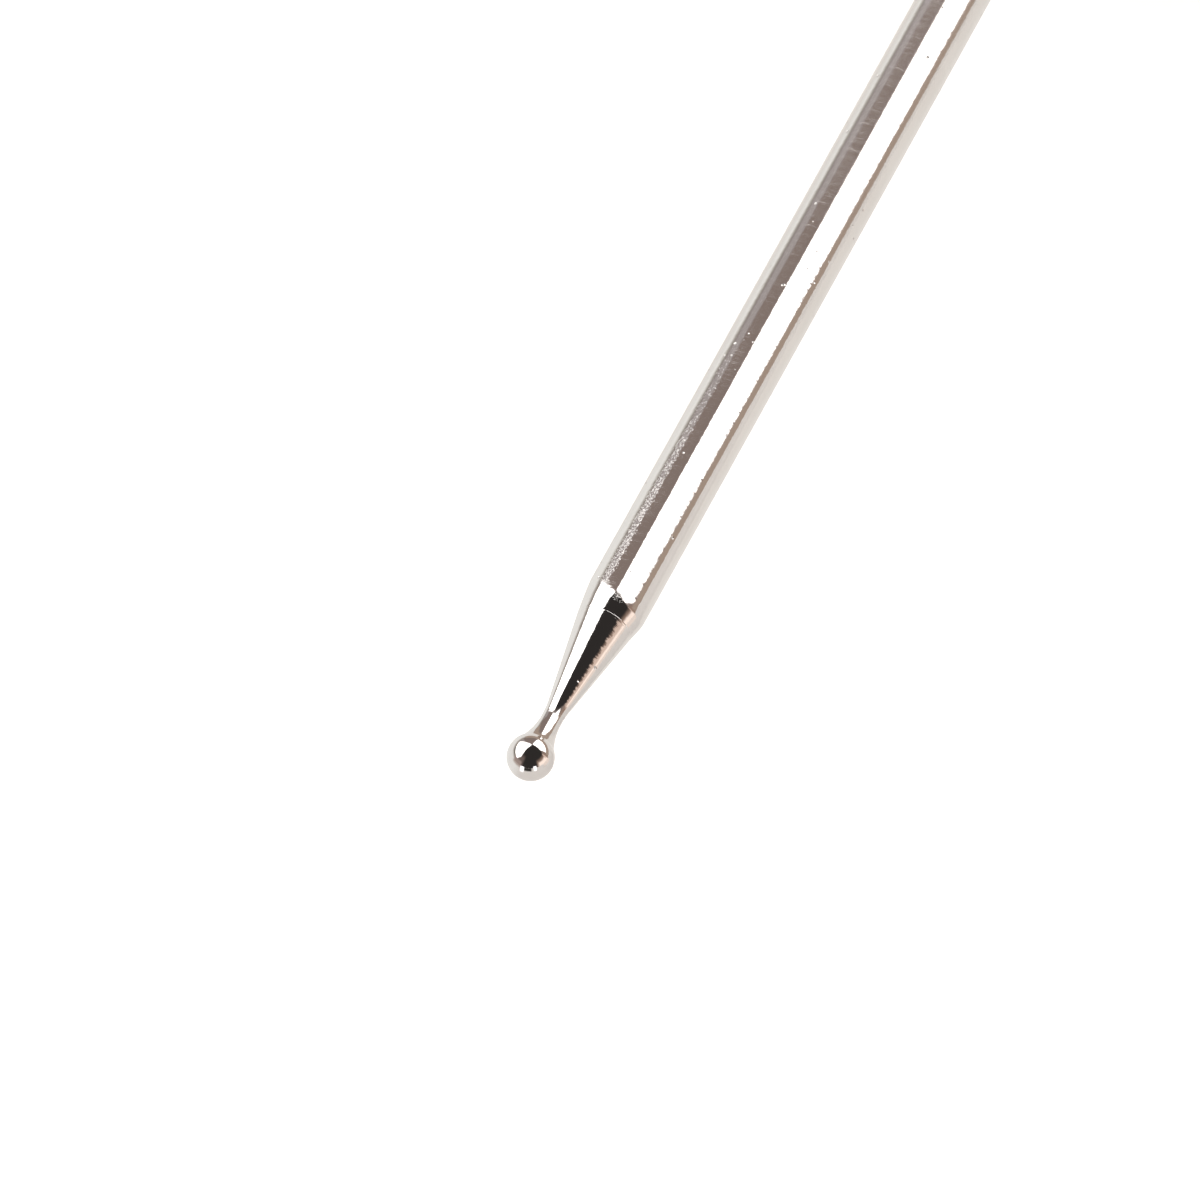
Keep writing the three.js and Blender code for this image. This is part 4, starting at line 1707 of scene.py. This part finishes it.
@dataclass
class Studio:
    """The light tent round the object, its floor and the photograph's camera."""

    SENSOR_WIDTH = 36.0
    HORIZON = (-0.004, 0.004)
    CLIP_START, CLIP_END = 0.01, 20.0

    axis: ToolAxis
    overhead: Colour = (0.033, 0.030, 0.029, 1.0)
    far_floor: Colour = (0.80, 0.775, 0.755, 1.0)
    board: Colour = (0.86, 0.84, 0.82, 1.0)
    board_lift: float = 0.4
    zones: tuple[Zone, ...] = (
        Zone("grey_wall", (0.265, 0.212, 0.192), (Side((1.0, 0.0, -0.5), 0.0, 0.06), above(2))),
        Zone("far_corner", (0.17, 0.13, 0.12), (after(118, 0.1), before(166, 0.12), below(46, 0.14))),
        Zone("far_corner_foot", (0.40, 0.32, 0.29), (after(112, 0.1), before(160, 0.08), below(20, 0.14))),
        Zone("warm_wall", (0.36, 0.25, 0.20), (before(-60, 0.05), after(-124, 0.1), below(29, 0.15))),
        Zone("warm_foot", (1.25, 1.07, 0.97), (before(-71, 0.02), after(-118, 0.1), below(18, 0.1))),
        Zone("warm_streaks", (0.80, 0.62, 0.53), (
            Side((1.0, 0.0, -0.08), 0.205, 0.01), Side((0.0, -1.0, 0.0), 0.72, 0.06), above(10, 0.06),
            before(-71, 0.02))),
        Zone("left_foot", (0.42, 0.40, 0.37), (after(20, 0.1), before(116, 0.2), below(11.5, 0.05))),
        Zone("left_hem", (0.78, 0.76, 0.73), (after(20, 0.1), before(116, 0.2), below(5, 0.04))),
        Zone("tail_foot", (0.44, 0.35, 0.29), (before(38), after(-64), below(17, 0.05))),
        Zone("tail_panel", (2.9, 2.9, 2.9), (
            Side((1.0, 0.0, -0.60), -0.04), Side((0.0, -1.0, 0.08)),
            Side((0.8254, 0.5646, 0.029)), above(17))),
        Zone("left_panel_side", (0.42, 0.385, 0.385), (before(66), after(47), above(14), below(33, 0.06))),
        Zone("left_panel", (2.9, 2.9, 2.9), (
            Side((0.423, 0.906, -0.28), 0.035), Side((-1.0, 0.15, 0.15), -0.285),
            Side((0.867, 0.498, 0.485), 0.0, 0.05), above(17))),
        Zone("camera_lamp", (2.0, 2.0, 2.1), (after(-143, 0.05), before(-130, 0.05), below(9, 0.06))),
        Zone("back_lamp", (2.0, 2.0, 2.1), (after(161, 0.05), before(177, 0.05), below(2))),
    )
    # Painted reflections: patches of the floor that glow only to glossy and transmission rays, so the metal
    # mirrors lamp-bright patches, pale and warm tints and a dark patch that the camera never sees on the
    # floor and that light nothing.
    painted_reflection_zones: tuple[Zone, ...] = (
        Zone("painted_left_floor_reflection", (0.95, 0.955, 0.94), (Side((0.0, 1.0, 0.0), 0.35, 0.35),)),
        Zone("painted_warm_floor_reflection", (1.0, 0.87, 0.79), (before(-66, 0.04), after(-100, 0.1), above(-15, 0.1))),
        Zone("painted_tail_floor_reflection", (0.885, 0.855, 0.82), (after(-38, 0.12), before(25, 0.2))),
        Zone("painted_dark_reflection", (0.04, 0.037, 0.035), (after(172, 0.06), before(-151, 0.08), above(-17, 0.06))),
        Zone("painted_far_corner_reflection", (0.52, 0.44, 0.40), (after(118, 0.12), before(161, 0.06), above(-9, 0.12))),
        Zone("painted_camera_lamp_reflection", (2.0, 2.0, 2.1), (after(-143, 0.05), before(-130, 0.05), above(-16, 0.06))),
        Zone("painted_back_lamp_reflection", (1.9, 1.9, 1.95), (after(161, 0.05), before(177, 0.05), above(-27, 0.14))),
    )
    floor_size: float = 4.0
    floor_drop: float = 0.02 * MM
    tilt: float = radians(31)
    lean: float = radians(29.15)
    camera_distance: float = 0.8
    picture_width: float = 41.11 * MM
    centre_right: float = 2.374 * MM
    centre_up: float = 5.382 * MM
    ball_radius: float = 0.83 * MM

    def zone_mask(self, graph: Graph, direction: Socket, zone: Zone) -> Input:
        """Gives where a zone is.

        Args:
            graph: The graph to build in.
            direction: The direction looked in.
            zone: The zone.

        Returns:
            A mask, 1 inside the zone.
        """
        mask: Input = 1.0
        for side in zone.sides:
            reach = graph.vector("DOT_PRODUCT", direction, side.normal)["Value"]
            edge = graph.ramp(reach, side.offset - side.softness, side.offset + side.softness)
            mask = graph.math("MULTIPLY", edge, mask)
        return mask

    def painted(self, graph: Graph, direction: Socket, zones: Sequence[Zone],
                colour: Input) -> tuple[Input, Socket]:
        """Lays zones over a colour.

        Args:
            graph: The graph to build in.
            direction: The direction looked in.
            zones: The zones, each over those before it.
            colour: What is seen outside them.

        Returns:
            The colour, and how far it is covered by zones.
        """
        bare: Input = 1.0
        for zone in zones:
            mask = self.zone_mask(graph, direction, zone)
            colour = graph.mix(mask, colour, (*zone.radiance, 1.0))
            bare = graph.math("MULTIPLY", bare, graph.math("SUBTRACT", 1.0, mask))
        return colour, graph.math("SUBTRACT", 1.0, bare)

    def world(self) -> None:
        """Builds the surroundings: white to the camera, zones of light to everything else."""
        world = bpy.data.worlds.new("light_tent")
        world.use_nodes = True
        world.node_tree.nodes.clear()
        graph = Graph(world.node_tree)
        direction = graph.add("ShaderNodeTexCoord").outputs["Generated"]
        colour, _ = self.painted(graph, direction, self.zones, self.overhead)
        under = graph.fall(graph.split(direction)["Z"], *self.HORIZON)
        colour = graph.mix(under, colour, self.far_floor)
        tent = graph.add("ShaderNodeBackground", {"Color": colour, "Strength": 1.0}).outputs[0]
        white = graph.add("ShaderNodeBackground", {"Color": WHITE, "Strength": 1.0}).outputs[0]
        seen = graph.add("ShaderNodeLightPath").outputs["Is Camera Ray"]
        both = graph.add("ShaderNodeMixShader", {0: seen, 1: tent, 2: white}).outputs[0]
        graph.add("ShaderNodeOutputWorld", {"Surface": both})
        bpy.context.scene.world = world
        log.info("light_tent: %d zones", len(self.zones))

    def floor_board(self) -> Material:
        """Makes the floor's material: pale board, with painted reflections (lamp-bright patches, warm and
        pale tints and a dark patch) that show only in the metal.

        Returns:
            The material.
        """
        material = bpy.data.materials.new("pale_floor_board")
        material.use_nodes = True
        material.node_tree.nodes.clear()
        graph = Graph(material.node_tree)
        rays = graph.add("ShaderNodeLightPath").outputs
        board = graph.add("ShaderNodeBsdfDiffuse", {"Color": self.board}).outputs[0]
        lift = graph.math("MULTIPLY", rays["Is Camera Ray"], self.board_lift)
        glow = graph.add("ShaderNodeEmission", {"Color": WHITE, "Strength": lift}).outputs[0]
        plain = graph.add("ShaderNodeAddShader", {0: board, 1: glow}).outputs[0]
        # Painted reflections: emission that only glossy and transmission rays see, laid over the board where
        # the zones cover it.
        place = graph.add("ShaderNodeTexCoord").outputs["Object"]
        from_ball = graph.vector("SUBTRACT", place, tuple(self.ball()))["Vector"]
        direction = graph.vector("NORMALIZE", from_ball)["Vector"]
        colour, cover = self.painted(graph, direction, self.painted_reflection_zones, self.far_floor)
        painted_reflections = graph.add("ShaderNodeEmission", {"Color": colour, "Strength": 1.0}).outputs[0]
        mirrored = graph.math("MAXIMUM", rays["Is Glossy Ray"], rays["Is Transmission Ray"])
        factor = graph.math("MULTIPLY", cover, mirrored)
        both = graph.add("ShaderNodeMixShader", {0: factor, 1: plain, 2: painted_reflections}).outputs[0]
        graph.add("ShaderNodeOutputMaterial", {"Surface": both})
        return material

    def floor(self) -> None:
        """Lays the pale floor, which keeps the object's shadow, is white to the camera and carries painted
        reflections that only the metal shows.
        """
        half, height = self.floor_size / 2, -self.floor_drop
        mesh = bpy.data.meshes.new("pale_floor")
        corners = [(-half, -half, height), (half, -half, height), (half, half, height), (-half, half, height)]
        mesh.from_pydata(corners, [], [(0, 1, 2, 3)])
        mesh.materials.append(self.floor_board())
        floor = bpy.data.objects.new("pale_floor", mesh)
        bpy.context.scene.collection.objects.link(floor)
        # Counts the painted reflections laid on the floor.
        log.info("pale_floor: %.1f m wide, %d cards", self.floor_size, len(self.painted_reflection_zones))

    def ball(self) -> Vector:
        """Returns the ball's centre."""
        return self.axis.place(0, self.ball_radius, 0)

    def camera(self) -> None:
        """Sets the camera where the photograph was taken from."""
        cx = -sin(self.tilt)
        slope = tan(self.lean)
        cz = sqrt((1 - cx ** 2) / (1 + (slope * cx) ** 2))
        back = Vector((cx, slope * cx * cz, cz))
        right = Vector((0, 0, 1)).cross(back).normalized()
        up = back.cross(right)
        target = self.ball() + right * self.centre_right + up * self.centre_up
        data = bpy.data.cameras.new("photo_camera")
        data.sensor_width = self.SENSOR_WIDTH
        data.lens = data.sensor_width * self.camera_distance / self.picture_width
        data.clip_start, data.clip_end = self.CLIP_START, self.CLIP_END
        camera = bpy.data.objects.new("photo_camera", data)
        bpy.context.scene.collection.objects.link(camera)
        camera.location = target + back * self.camera_distance
        camera.rotation_mode = "QUATERNION"
        camera.rotation_quaternion = (-back).to_track_quat("-Z", "Y")
        bpy.context.scene.camera = camera
        log.info("photo_camera: %.0f mm lens", data.lens)

    def build(self) -> None:
        """Builds the studio and sets how colours are shown."""
        self.world()
        self.floor()
        self.camera()
        bpy.context.scene.view_settings.view_transform = "Standard"


def main() -> None:
    """Builds every piece in order, then the studio."""
    logging.basicConfig(level=logging.INFO, format="%(name)s: %(message)s")
    axis = ToolAxis.from_frame()
    finishes = Finishes()
    for assembly in (BallNeedle, Chuck, Handle, Tail):
        assembly(axis, finishes).build()
    Studio(axis).build()


if __name__ == "__main__":
    main()
